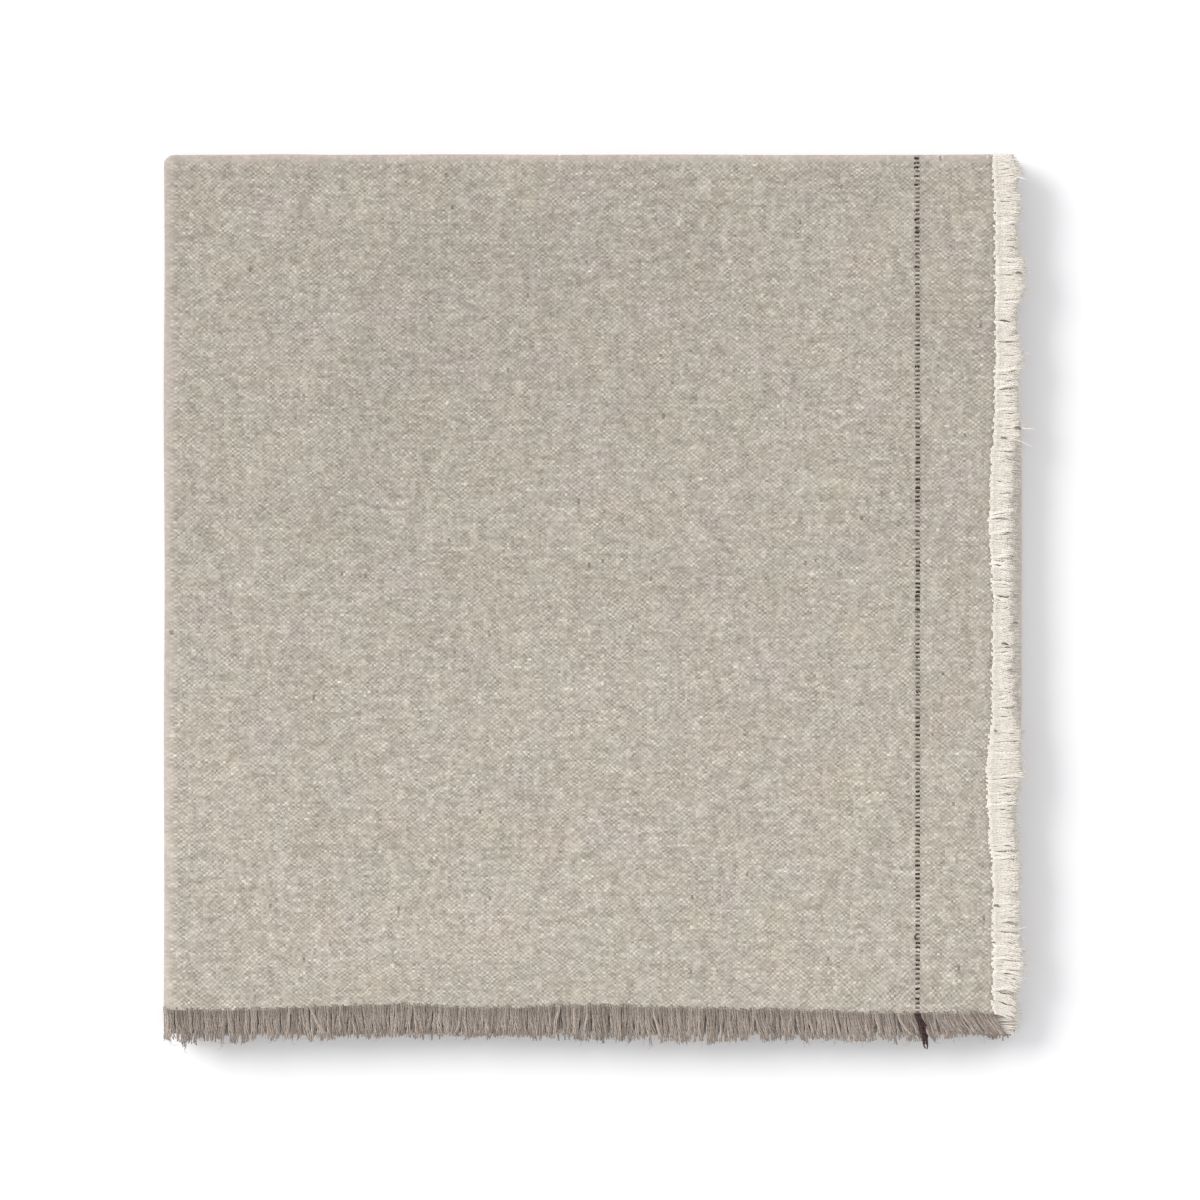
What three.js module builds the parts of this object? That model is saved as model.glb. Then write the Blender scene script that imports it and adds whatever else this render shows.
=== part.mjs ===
// A square tablecloth of coarse plain weave, frayed on all four sides and folded to a flat bundle of
// sixteen layers. The warp is taupe and frays into a taupe fringe, the weft is cream and frays into a
// cream fringe. A bundle of dark brown warp yarns runs near one side and ends in a tuft at each end.
//
// Millimetres, +Z up. The cloth is folded lengthwise into a strip of four layers, and the strip is then
// folded crosswise in four. The closed folds lie at -X and +Y, the frayed edges at +X and -Y, and the
// corner of the top layer's frayed edges is the origin until the bundle is centred at the end.

import * as THREE from "three";

// The cloth and its layers
const CLOTH_THICKNESS = 1.05;
const LAYER_GAP = 0.4;
const LAYER_PITCH = CLOTH_THICKNESS + LAYER_GAP;
const LAYERS_IN_STRIP = 4;
const STRIPS = 4;
const STRIP_PITCH = LAYERS_IN_STRIP * LAYER_PITCH;
const STRIP_HALF = (STRIP_PITCH - LAYER_GAP) / 2;

// The folded bundle
const FOLDED_WIDTH = 412; // from the cream fringe's root to the closed side fold
const FOLDED_LENGTH = 426; // from the taupe fringe's root to the closed back fold
const SIDE_FOLD_RADIUS = 3.3; // of the strip's middle, at both corners of the outer side fold
const SIDE_FOLD_CLEARANCE = 0.5; // between the outer and the inner side fold
const RIGHT_FOLD_REACH = 15.5; // the lower strips' fold comes out this far under the cream fringe
const FRONT_FOLD_REACH = 14; // and the lower layers' fold under the taupe fringe
const SECOND_STRIP_SHORT = 2;
const SECOND_LAYER_SHORT = 1.5;

// The fringes, measured from the cloth's edge
const CREAM_REACH = 12.8;
const TAUPE_REACH = 16.8;
const PIECE_GAP = 0.3;
const BACKING_WIDTH = 2;
const LOCK_PITCH_SHOWN = 9.5;
const LOCK_PITCH_HIDDEN = 42;
const LOCK_LENGTH_VARIES = 0.12;
const LOCK_LEAN_VARIES = 0.12; // of the lock's width
const LOCK_SECTIONS = [
  { reach: 0.5, width: 0.86, lean: 0.35 },
  { reach: 1, width: 0.6, lean: 1 },
];

// The tufts of brown yarns, from the backing to the tip
const BROWN_LINE = 36.5; // from the cream fringe's root
const TUFT_SLOT = 6.5;
const TUFT_SECTIONS = [
  { reach: 2.6, width: 2.2, lean: 0 },
  { reach: 7, width: 3.2, lean: -0.7 },
  { reach: 13, width: 3.4, lean: -2.1 },
  { reach: 19.5, width: 2.2, lean: -4.4 },
];

// How far each frayed edge of the top layer swings out past its straight line, or in, along the edge
const EDGE_BAND = 20; // the swing fades out over this width of cloth
const CREAM_EDGE = [
  { at: 0, out: 0.5 },
  { at: 64, out: 0.4 },
  { at: 104, out: -2.5 },
  { at: 124, out: -4 },
  { at: 144, out: -0.6 },
  { at: 204, out: 0.3 },
  { at: 244, out: -1.5 },
  { at: 304, out: 1.5 },
  { at: 344, out: 2 },
  { at: 404, out: 1.5 },
];
const TAUPE_EDGE = [
  { at: 0, out: 1 },
  { at: 52, out: 2 },
  { at: 112, out: -1 },
  { at: 172, out: -0.5 },
  { at: 202, out: -3.5 },
  { at: 232, out: -1 },
  { at: 292, out: -3 },
  { at: 352, out: -0.5 },
];
const HIDDEN_EDGES_VARY = 1.5;

// The taupe locks beside the open corner lean out over the cream fringe
const TAUPE_LEAN = [
  { at: 0, lean: -9 },
  { at: 26, lean: -4.5 },
  { at: 60, lean: -2 },
  { at: 120, lean: -0.8 },
  { at: 240, lean: 0 },
];

// The bundle's height as a share of its full height is one plus both rises. It is uneven inside, and
// sinks towards the open edges.
const RISE_ACROSS = [
  { at: -412, rise: -0.01 },
  { at: -280, rise: 0.012 },
  { at: -140, rise: -0.008 },
  { at: -20, rise: 0 },
  { at: 0, rise: -0.06 },
  { at: 15, rise: -0.15 },
];
const RISE_ALONG = [
  { at: -20, rise: -0.15 },
  { at: 0, rise: -0.05 },
  { at: 20, rise: 0 },
  { at: 140, rise: 0.012 },
  { at: 280, rise: -0.008 },
  { at: 426, rise: 0 },
];

const COLOURS = { cloth: 0xb9b1a5, cream: 0xe4dccf, taupe: 0x958a82, brown: 0x4c3a38 };
const LEAST_CELL = 1;

const { degToRad, lerp, clamp } = THREE.MathUtils;

// A value of a table's column between two rows, straight from one row to the next
function fromTable(rows, column, at) {
  const after = rows.findIndex((row) => row.at >= at);
  if (after === 0) return rows[0][column];
  if (after === -1) return rows.at(-1)[column];
  const [low, high] = [rows[after - 1], rows[after]];
  return lerp(low[column], high[column], (at - low.at) / (high.at - low.at));
}

// A number between -1 and 1 that varies evenly but without order from one count to the next. Each kind
// of variation starts elsewhere.
const GOLDEN_SHARE = (Math.sqrt(5) - 1) / 2;
const START_SHARE = { hiddenEdges: 0.37, lockLengths: 0.85, lockLeans: 0.22 };
function varied(count, kind) {
  return 2 * (((count + 1) * GOLDEN_SHARE + START_SHARE[kind]) % 1) - 1;
}

// Folded cloth seen on its edge: straight runs and round turns, joined end to end. A run goes on to a
// line or for a length. A turn has a radius and an angle, positive to the left. What lies before the
// path or past it goes straight on.
function foldPath(start, heading, faceSide, rows) {
  const parts = [];
  let from = start;
  let ahead = heading;
  let begins = 0;
  for (const row of rows) {
    const angle = degToRad(row.turn ?? 0);
    const length = row.turn ? row.radius * Math.abs(angle) : (row.run ?? Math.abs(row.to - from.x));
    const part = { ...row, angle, length, begins, ends: begins + length, from, ahead };
    parts.push(part);
    const end = alongPart(part, length);
    from = end.point;
    ahead = end.ahead;
    begins = part.ends;
  }
  const at = (distance) => {
    const part = parts.find(({ ends }) => distance < ends) ?? parts.at(-1);
    const { point, ahead: direction } = alongPart(part, distance - part.begins);
    const face = new THREE.Vector2(-direction.y, direction.x).multiplyScalar(faceSide);
    return { point, face };
  };
  return { parts, length: begins, at };
}

function alongPart(part, distance) {
  const { from, ahead, angle, radius } = part;
  if (!angle) {
    return { point: from.clone().addScaledVector(ahead, distance), ahead };
  }
  const side = Math.sign(angle);
  const inward = new THREE.Vector2(-ahead.y, ahead.x).multiplyScalar(side);
  const centre = from.clone().addScaledVector(inward, radius);
  const turned = (side * distance) / radius;
  return {
    point: from.clone().rotateAround(centre, turned),
    ahead: ahead.clone().rotateAround(new THREE.Vector2(), turned),
  };
}

// The layers of one strip, across its thickness: the two frayed edges meet at the front, over a fold
const outerBackRadius = 1.5 * LAYER_PITCH;
const tightRadius = 0.5 * LAYER_PITCH;
const backLine = FOLDED_LENGTH - outerBackRadius - CLOTH_THICKNESS / 2;
const frontLine = -FRONT_FOLD_REACH + tightRadius + CLOTH_THICKNESS / 2;
const layers = foldPath(new THREE.Vector2(0, outerBackRadius), new THREE.Vector2(1, 0), 1, [
  { part: "first layer", to: backLine },
  { part: "outer back fold", radius: outerBackRadius, turn: -180, cells: 5 },
  { part: "fourth layer", to: frontLine },
  { part: "front fold", radius: tightRadius, turn: -180, cells: 4 },
  { part: "third layer", to: backLine },
  { part: "inner back fold", radius: tightRadius, turn: 180, cells: 4 },
  { part: "second layer", to: SECOND_LAYER_SHORT },
]);

// The strips of the bundle, over its height: the strip's two ends meet at the right, over a fold
const bundleMiddle = (STRIPS * STRIP_PITCH - LAYER_GAP) / 2;
const stripRadius = STRIP_PITCH / 2;
const sideLine = -FOLDED_WIDTH + STRIP_HALF;
const innerSideLine = sideLine + STRIP_HALF + SIDE_FOLD_CLEARANCE + STRIP_HALF + stripRadius;
const rightLine = RIGHT_FOLD_REACH - stripRadius - STRIP_HALF;
const topOfStrips = new THREE.Vector2(0, bundleMiddle + 1.5 * STRIP_PITCH);
const strips = foldPath(topOfStrips, new THREE.Vector2(-1, 0), -1, [
  { part: "first strip", to: sideLine + SIDE_FOLD_RADIUS },
  { part: "upper side corner", radius: SIDE_FOLD_RADIUS, turn: 90, cells: 3 },
  { part: "outer side", run: 3 * STRIP_PITCH - 2 * SIDE_FOLD_RADIUS },
  { part: "lower side corner", radius: SIDE_FOLD_RADIUS, turn: 90, cells: 3 },
  { part: "fourth strip", to: rightLine },
  { part: "right fold", radius: stripRadius, turn: 180, cells: 6 },
  { part: "third strip", to: innerSideLine },
  { part: "inner side fold", radius: stripRadius, turn: -180, cells: 5 },
  { part: "second strip", to: -SECOND_STRIP_SHORT },
]);

// A frayed edge's swing along its whole length: the top layer's table, and one value for each run below
function wholeEdge(path, firstCount, shown) {
  const runs = path.parts.filter((part) => part.to !== undefined);
  const hidden = shown.length > 0 ? runs.slice(1) : runs;
  const rows = hidden.flatMap(({ begins, ends }, count) => {
    const out = HIDDEN_EDGES_VARY * varied(firstCount + count, "hiddenEdges");
    return [{ at: begins, out }, { at: ends, out }];
  });
  return [...shown, ...rows];
}
const swings = {
  creamFirst: wholeEdge(layers, 0, CREAM_EDGE),
  creamSecond: wholeEdge(layers, 3, []),
  taupeFirst: wholeEdge(strips, 7, TAUPE_EDGE),
  taupeSecond: wholeEdge(strips, 10, []),
};

// The place in the bundle of a point of the flat cloth: u runs along the strips from the first cream
// edge, v along the layers from the first taupe edge, and w is the height over the cloth's middle
function place(u, v, w) {
  const near = (distance) => clamp(1 - distance / EDGE_BAND, 0, 1);
  const shiftedU =
    u -
    near(u) * fromTable(swings.creamFirst, "out", v) +
    near(strips.length - u) * fromTable(swings.creamSecond, "out", v);
  const shiftedV =
    v -
    near(v) * fromTable(swings.taupeFirst, "out", u) +
    near(layers.length - v) * fromTable(swings.taupeSecond, "out", u);
  const layer = layers.at(shiftedV);
  const inStrip = layer.point.addScaledVector(layer.face, w);
  const strip = strips.at(shiftedU);
  const inBundle = strip.point.addScaledVector(strip.face, inStrip.y);
  const [x, y] = [inBundle.x, inStrip.x];
  const rise = fromTable(RISE_ACROSS, "rise", x) + fromTable(RISE_ALONG, "rise", y);
  return new THREE.Vector3(x, y, inBundle.y * (1 + rise));
}

// Where a path is cut into cells: evenly in its turns, and elsewhere on the lines of the rise tables, so
// that all layers bend at the same lines, and in the first run at the edge tables' rows too
function cutsOf(path, rises, shownCuts) {
  const cuts = path.parts.map((part) => {
    if (part.turn) {
      const step = part.length / part.cells;
      return Array.from({ length: part.cells }, (_, cell) => part.begins + cell * step);
    }
    const lines = rises.map(({ at }) => part.begins + (at - part.from.x) * part.ahead.x);
    const wanted = part.begins === 0 ? [...lines, ...shownCuts] : lines;
    const [low, high] = [part.begins + LEAST_CELL, part.ends - LEAST_CELL];
    const inside = wanted.filter((cut) => cut > low && cut < high);
    return [part.begins, ...new Set(inside.sort((a, b) => a - b))];
  });
  return [...cuts.flat(), path.length];
}
const slotCuts = [BROWN_LINE - TUFT_SLOT / 2, BROWN_LINE + TUFT_SLOT / 2];
const cutsU = cutsOf(strips, RISE_ACROSS, [...TAUPE_EDGE.map(({ at }) => at), ...slotCuts]);
const cutsV = cutsOf(layers, RISE_ALONG, CREAM_EDGE.map(({ at }) => at));

const pairs = (list) => list.slice(1).map((next, index) => [list[index], next]);

// A closed sheet over four-cornered cells of the flat cloth: a face above each cell, one below, and a
// wall on each side that no other cell shares
function sheetOver(cells) {
  const corners = new Map();
  const numberOf = ([u, v]) => {
    const key = `${u.toFixed(3)} ${v.toFixed(3)}`;
    if (!corners.has(key)) corners.set(key, { number: corners.size, u, v });
    return corners.get(key).number;
  };
  const rings = cells.map((cell) => {
    const clockwise = THREE.ShapeUtils.area(cell.map(([u, v]) => new THREE.Vector2(u, v))) < 0;
    return (clockwise ? cell : [...cell].reverse()).map(numberOf);
  });
  const sidesOf = (ring) => ring.map((corner, side) => [corner, ring[(side + 1) % ring.length]]);
  const used = new Set(rings.flatMap(sidesOf).map(String));
  const above = (corner) => 2 * corner;
  const below = (corner) => 2 * corner + 1;
  const faces = [];
  for (const ring of rings) {
    const [a, b, c, d] = ring;
    faces.push(above(a), above(b), above(c), above(a), above(c), above(d));
    faces.push(below(a), below(c), below(b), below(a), below(d), below(c));
    for (const [from, to] of sidesOf(ring)) {
      if (used.has(String([to, from]))) continue;
      faces.push(below(from), below(to), above(to), below(from), above(to), above(from));
    }
  }
  const half = CLOTH_THICKNESS / 2;
  const points = [...corners.values()].flatMap(({ u, v }) => [place(u, v, half), place(u, v, -half)]);
  const geometry = new THREE.BufferGeometry().setFromPoints(points);
  geometry.setIndex(faces);
  geometry.computeVertexNormals();
  return geometry;
}

function clothCells() {
  return pairs(cutsU).flatMap(([u0, u1]) =>
    pairs(cutsV).map(([v0, v1]) => [[u0, v0], [u1, v0], [u1, v1], [u0, v1]]),
  );
}

// A run of sections across a lock or a tuft, as cells. A section lies at a reach out from the cloth's
// edge and goes from one place along the edge to another.
function cellsBetween(sections, onCloth) {
  return pairs(sections).map(([near, far]) => [
    onCloth(near.reach, near.from),
    onCloth(near.reach, near.to),
    onCloth(far.reach, far.to),
    onCloth(far.reach, far.from),
  ]);
}

// A fringe: a narrow backing beside the whole edge, with locks on its straight runs that are fused to
// it at their roots
function fringeCells(edge) {
  const cells = [];
  let count = 0;
  const rootReach = PIECE_GAP + BACKING_WIDTH;
  const addBacking = (from, to) => {
    const sides = [PIECE_GAP, rootReach].map((reach) => ({ reach, from, to }));
    cells.push(...cellsBetween(sides, edge.onCloth));
  };
  for (const [begin, end] of pairs(edge.cuts)) {
    const middle = (begin + end) / 2;
    const part = edge.path.parts.find(({ ends }) => middle < ends);
    const shown = part.begins === 0 && edge.shown;
    const isSlot = edge.leavesSlot && Math.abs(middle - BROWN_LINE) < LEAST_CELL;
    const hasLocks = part.to !== undefined && !isSlot;
    const pitch = shown ? LOCK_PITCH_SHOWN : LOCK_PITCH_HIDDEN;
    const locks = Math.max(1, Math.round((end - begin) / pitch));
    const width = (end - begin) / locks;
    for (let lock = 0; lock < (hasLocks ? locks : 0); lock += 1) {
      const from = begin + lock * width;
      const centre = from + width / 2;
      const swing = fromTable(edge.swing, "out", centre);
      const tip = edge.reach * (1 + LOCK_LENGTH_VARIES * varied(count, "lockLengths")) - swing;
      const leanOfAll = fromTable(edge.lean, "lean", centre);
      const lean = leanOfAll + width * LOCK_LEAN_VARIES * varied(count, "lockLeans");
      addBacking(from, from + width);
      const sections = LOCK_SECTIONS.map((section) => ({
        reach: lerp(rootReach, tip, section.reach),
        from: centre + lean * section.lean - (width * section.width) / 2,
        to: centre + lean * section.lean + (width * section.width) / 2,
      }));
      const root = { reach: rootReach, from, to: from + width };
      cells.push(...cellsBetween([root, ...sections], edge.onCloth));
      count += 1;
    }
    if (!hasLocks) addBacking(begin, end);
  }
  return cells;
}

function tuftCells(edge) {
  const sections = TUFT_SECTIONS.map(({ reach, width, lean }) => ({
    reach,
    from: BROWN_LINE + lean - width / 2,
    to: BROWN_LINE + lean + width / 2,
  }));
  return cellsBetween(sections, edge.onCloth);
}

const upright = [{ at: 0, lean: 0 }];
const creamEdge = { path: layers, cuts: cutsV, reach: CREAM_REACH, lean: upright, leavesSlot: false };
const taupeEdge = { path: strips, cuts: cutsU, reach: TAUPE_REACH, lean: upright, leavesSlot: true };
const edges = {
  creamFirst: {
    ...creamEdge,
    swing: swings.creamFirst,
    shown: true,
    onCloth: (reach, along) => [-reach, along],
  },
  creamSecond: {
    ...creamEdge,
    swing: swings.creamSecond,
    shown: false,
    onCloth: (reach, along) => [strips.length + reach, along],
  },
  taupeFirst: {
    ...taupeEdge,
    swing: swings.taupeFirst,
    lean: TAUPE_LEAN,
    shown: true,
    onCloth: (reach, along) => [along, -reach],
  },
  taupeSecond: {
    ...taupeEdge,
    swing: swings.taupeSecond,
    shown: false,
    onCloth: (reach, along) => [along, layers.length + reach],
  },
};

function piece(name, cells, color) {
  const material = new THREE.MeshStandardMaterial({ color, roughness: 0.95, metalness: 0 });
  const mesh = new THREE.Mesh(sheetOver(cells), material);
  mesh.name = name;
  return mesh;
}

const group = new THREE.Group();
group.add(
  piece("cloth", clothCells(), COLOURS.cloth),
  piece("cream_fringe_first", fringeCells(edges.creamFirst), COLOURS.cream),
  piece("cream_fringe_second", fringeCells(edges.creamSecond), COLOURS.cream),
  piece("taupe_fringe_first", fringeCells(edges.taupeFirst), COLOURS.taupe),
  piece("taupe_fringe_second", fringeCells(edges.taupeSecond), COLOURS.taupe),
  piece("brown_tuft_first", tuftCells(edges.taupeFirst), COLOURS.brown),
  piece("brown_tuft_second", tuftCells(edges.taupeSecond), COLOURS.brown),
);

// The origin is the middle of the bundle's footprint, on the surface that it lies on
const centre = new THREE.Box3().setFromObject(group).getCenter(new THREE.Vector3());
group.position.set(-centre.x, -centre.y, 0);

export default group;
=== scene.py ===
# %% [markdown]
# # A folded tablecloth
#
# A square cloth of coarse plain weave, frayed on all four sides and folded to a flat bundle of sixteen
# layers. The warp is taupe, the weft is cream, and a bundle of dark brown warp yarns runs near one side.
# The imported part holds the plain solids. This lesson dresses them: the woven sheet on its folds, the
# fringe yarn by yarn, and the dotted brown line with its tufts.

import math

import bpy
import numpy as np
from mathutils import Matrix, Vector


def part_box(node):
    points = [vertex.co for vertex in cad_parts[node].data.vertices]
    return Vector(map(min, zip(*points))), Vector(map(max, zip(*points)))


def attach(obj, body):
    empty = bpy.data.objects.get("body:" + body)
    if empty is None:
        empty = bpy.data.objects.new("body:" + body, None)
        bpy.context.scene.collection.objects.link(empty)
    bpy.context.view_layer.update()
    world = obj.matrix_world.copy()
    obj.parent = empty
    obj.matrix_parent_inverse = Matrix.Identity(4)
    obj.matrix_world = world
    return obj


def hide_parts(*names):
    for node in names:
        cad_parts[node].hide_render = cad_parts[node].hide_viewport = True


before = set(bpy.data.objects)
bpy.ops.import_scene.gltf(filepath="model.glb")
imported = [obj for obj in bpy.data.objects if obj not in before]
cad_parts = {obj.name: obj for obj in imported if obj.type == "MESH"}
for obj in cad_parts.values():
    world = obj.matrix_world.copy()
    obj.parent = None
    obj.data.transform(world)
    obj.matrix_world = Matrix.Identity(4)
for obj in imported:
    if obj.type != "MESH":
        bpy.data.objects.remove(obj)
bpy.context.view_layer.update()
bpy.ops.object.select_all(action="DESELECT")
print("nodes:", sorted(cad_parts))

# %% [markdown]
# ## Where to look from
#
# The cloth lies on a table and is seen from straight above, so its outline is a true plan. A very long
# lens from five metres keeps the sides of the bundle out of sight. All sizes of the cloth are measured
# from its open corner, where the two frayed edges of the top layer meet, and so is the camera's place.

# %% Camera
MM = 0.001
RIGHT_FOLD_REACH = 15.5  # the strips' fold comes out this far under the cream fringe
FRONT_FOLD_REACH = 14  # and the layers' fold this far under the taupe fringe
LENS = 300  # mm
SENSOR_WIDTH = 36  # mm
CAMERA_DISTANCE = 4.983  # metres from the top layer, which gives a picture 0.6 m wide there
PICTURE_MIDDLE = (-195, 204)  # mm from the open corner to the middle of the picture

cloth_low, cloth_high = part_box("cloth")
open_corner = np.array([cloth_high.x - RIGHT_FOLD_REACH * MM, cloth_low.y + FRONT_FOLD_REACH * MM, 0])
eye = open_corner + np.array([PICTURE_MIDDLE[0] * MM, PICTURE_MIDDLE[1] * MM, cloth_high.z])
bpy.ops.object.camera_add(location=eye + np.array([0, 0, CAMERA_DISTANCE]), rotation=(0, 0, 0))
camera = bpy.context.object
camera.name = "camera above the cloth"
camera.data.lens = LENS
camera.data.sensor_width = SENSOR_WIDTH
camera.data.clip_start = 0.1
camera.data.clip_end = 20
bpy.context.scene.camera = camera
print("open corner in mm:", np.round(open_corner / MM, 2))

# %% [markdown]
# ## Floor and light
#
# The cloth lies on a white table in a bright studio. A large soft lamp stands on the left and a little
# behind, so the shadow falls to the right and to the front, and light from all round keeps it pale. A sun
# lamp with a wide disc gives the same soft shadow all over, with no bright spot.

# %% Floor, lamp and sky
FLOOR_SIDE = 6
FLOOR_DROP = 0.0001  # metres under the cloth, so that the two don't share a plane
TABLE_WHITE = (0.93, 0.93, 0.935, 1)
LAMP_WHITE = (1.0, 0.985, 0.965)
SKY_WHITE = (0.975, 0.98, 1.0, 1)
LAMP_HEIGHT_ANGLE = 32.4  # degrees over the horizon
LAMP_TURN = 27  # degrees behind the left side
LAMP_DISC = 34  # degrees across, which sets how soft the shadow is
LAMP_STRENGTH = 2.46
SKY_STRENGTH = 0.845

bpy.ops.mesh.primitive_plane_add(size=FLOOR_SIDE, location=(0, 0, -FLOOR_DROP))
floor = bpy.context.object
floor.name = "floor"
table = bpy.data.materials.new("white table")
table.use_nodes = True
table.node_tree.nodes["Principled BSDF"].inputs["Base Color"].default_value = TABLE_WHITE
table.node_tree.nodes["Principled BSDF"].inputs["Roughness"].default_value = 0.9
floor.data.materials.append(table)

bpy.ops.object.light_add(type="SUN", location=(-1, 0.5, 2))
lamp = bpy.context.object
lamp.name = "soft lamp"
lamp.rotation_euler = (0, -math.radians(90 - LAMP_HEIGHT_ANGLE), -math.radians(LAMP_TURN))
lamp.data.energy = LAMP_STRENGTH
lamp.data.angle = math.radians(LAMP_DISC)
lamp.data.color = LAMP_WHITE

sky = bpy.data.worlds.new("studio light")
sky.use_nodes = True
sky.node_tree.nodes["Background"].inputs["Color"].default_value = SKY_WHITE
sky.node_tree.nodes["Background"].inputs["Strength"].default_value = SKY_STRENGTH
bpy.context.scene.world = sky
bpy.context.scene.view_settings.view_transform = "Standard"
print("lamp", LAMP_STRENGTH, "sky", SKY_STRENGTH)

# %% [markdown]
# ## The fold paths
#
# Cloth seen on its edge is a line of straight runs and round turns. The cloth is first folded lengthwise,
# back and forth, into a strip of four layers, and the strip is then folded in four. So two such lines
# place every point of the flat cloth: one across the layers of the strip, one across the strips of the
# bundle. The sizes are those of the part's own source, in millimetres.

# %% Sizes of the folds
THICKNESS = 1.05
LAYER_PITCH = 1.45
STRIP_PITCH = 5.8
STRIP_HALF = 2.7
FOLDED_WIDTH = 412
FOLDED_LENGTH = 426
SIDE_CORNER = 3.3
SIDE_CLEARANCE = 0.5
SECOND_STRIP_SHORT = 2
SECOND_LAYER_SHORT = 1.5

outer_radius = 1.5 * LAYER_PITCH
tight_radius = 0.5 * LAYER_PITCH
strip_radius = STRIP_PITCH / 2
back_line = FOLDED_LENGTH - outer_radius - THICKNESS / 2
front_line = -FRONT_FOLD_REACH + tight_radius + THICKNESS / 2
side_line = -FOLDED_WIDTH + STRIP_HALF
inner_side_line = side_line + 2 * STRIP_HALF + SIDE_CLEARANCE + strip_radius
right_line = RIGHT_FOLD_REACH - strip_radius - STRIP_HALF
top_of_strips = 2 * STRIP_PITCH - (LAYER_PITCH - THICKNESS) / 2 + 1.5 * STRIP_PITCH
print("radii of the turns in mm:", outer_radius, tight_radius, strip_radius)

LAYER_ROWS = [
    {"run to": back_line, "cells": 84},
    {"turn": -180, "radius": outer_radius, "cells": 10},
    {"run to": front_line, "cells": 34},
    {"turn": -180, "radius": tight_radius, "cells": 6},
    {"run to": back_line, "cells": 34},
    {"turn": 180, "radius": tight_radius, "cells": 6},
    {"run to": SECOND_LAYER_SHORT, "cells": 34},
]
STRIP_ROWS = [
    {"run to": side_line + SIDE_CORNER, "cells": 84},
    {"turn": 90, "radius": SIDE_CORNER, "cells": 6},
    {"run": 3 * STRIP_PITCH - 2 * SIDE_CORNER, "cells": 5},
    {"turn": 90, "radius": SIDE_CORNER, "cells": 6},
    {"run to": right_line, "cells": 34},
    {"turn": 180, "radius": strip_radius, "cells": 8},
    {"run to": inner_side_line, "cells": 34},
    {"turn": -180, "radius": strip_radius, "cells": 8},
    {"run to": -SECOND_STRIP_SHORT, "cells": 34},
]


# %% Walking along a fold path
def along_part(part, distance):
    """The points and headings at these distances along one straight run or round turn."""
    if not part["angle"]:
        headings = np.broadcast_to(part["ahead"], (len(distance), 2))
        return part["start"] + distance[:, None] * part["ahead"], headings
    side = math.copysign(1, part["angle"])
    ahead = part["ahead"]
    centre = part["start"] + side * part["radius"] * np.array([-ahead[1], ahead[0]])
    turned = side * distance / part["radius"]
    cosine = np.cos(turned)[:, None]
    sine = np.sin(turned)[:, None]

    def rotated(arrow):
        return cosine * arrow + sine * np.array([-arrow[1], arrow[0]])

    return centre + rotated(part["start"] - centre), rotated(ahead)


def fold_path(start, heading, face_side, rows):
    """Runs and turns joined end to end. The face is on the left of the path where face_side is 1."""
    point = np.array(start, float)
    ahead = np.array(heading, float)
    begins = 0.0
    parts = []
    for row in rows:
        angle = math.radians(row.get("turn", 0))
        if angle:
            length = row["radius"] * abs(angle)
        else:
            length = row["run"] if "run" in row else abs(row["run to"] - point[0])
        part = dict(row, angle=angle, length=length, begins=begins, start=point, ahead=ahead)
        parts.append(part)
        ends, headings = along_part(part, np.array([length]))
        point = ends[0]
        ahead = headings[0]
        begins += length
    return {"parts": parts, "length": begins, "face_side": face_side}


def on_path(path, distance):
    """The points at these distances along a path, and the directions in which the cloth faces there."""
    starts = [part["begins"] for part in path["parts"]]
    which = np.clip(np.searchsorted(starts, distance, side="right") - 1, 0, None)
    points = np.empty((len(distance), 2))
    faces = np.empty((len(distance), 2))
    for number, part in enumerate(path["parts"]):
        here = which == number
        points[here], headings = along_part(part, distance[here] - part["begins"])
        faces[here] = path["face_side"] * np.stack([-headings[:, 1], headings[:, 0]], axis=1)
    return points, faces


layers = fold_path((0, outer_radius), (1, 0), 1, LAYER_ROWS)
strips = fold_path((0, top_of_strips), (-1, 0), -1, STRIP_ROWS)
print("flat cloth:", round(strips["length"], 1), "x", round(layers["length"], 1), "mm")

# %% [markdown]
# ## What makes the bundle uneven
#
# A frayed edge isn't straight: the last warp yarn wanders a few millimetres in and out. The bundle sinks
# towards its open edges, its folds aren't ruled lines, and the top layer is a little loose, with three
# faint creases. All of it is written as short tables and smooth ripples, and every layer and yarn then goes
# through the same function, so they keep clear of each other.

# %% Tables of the unevenness, in mm
def table(columns, *rows):
    """Rows of a table, each with its values under the names of these columns."""
    return [dict(zip(columns.split(), row)) for row in rows]


EDGE_BAND = 20  # how far into the cloth an edge's wander is felt
CREAM_EDGE = {
    "at": [0, 64, 104, 124, 144, 204, 244, 304, 344, 404, 424],
    "out": [1.3, 1.1, -1.8, -1.9, 0.5, 1.1, -0.7, 2.1, 2.5, 2.2, 0.6],
}
TAUPE_EDGE = {
    "at": [0, 52, 112, 130, 172, 202, 232, 262, 292, 340, 366, 390],
    "out": [2.7, 2.9, 0.6, 0.3, -0.8, -1.9, -0.5, -0.4, -2.3, -0.8, 0.6, 1.2],
}
HIDDEN_EDGES_VARY = 1.5
RISE_ACROSS = {
    "at": [-412, -280, -140, -20, 0, 15],
    "rise": [-0.01, 0.012, -0.008, 0, -0.06, -0.15],
}
RISE_ALONG = {
    "at": [-20, 0, 20, 140, 280, 426],
    "rise": [-0.15, -0.05, 0, 0.012, -0.008, 0],
}
CORNER_ROUND = 4.4  # radius in plan of the closed corner
SIDE_BULGE = 0.9
SIDE_WANDER = 0.25
BACK_WANDER = 0.45
BACK_BOW = 0.2
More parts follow.
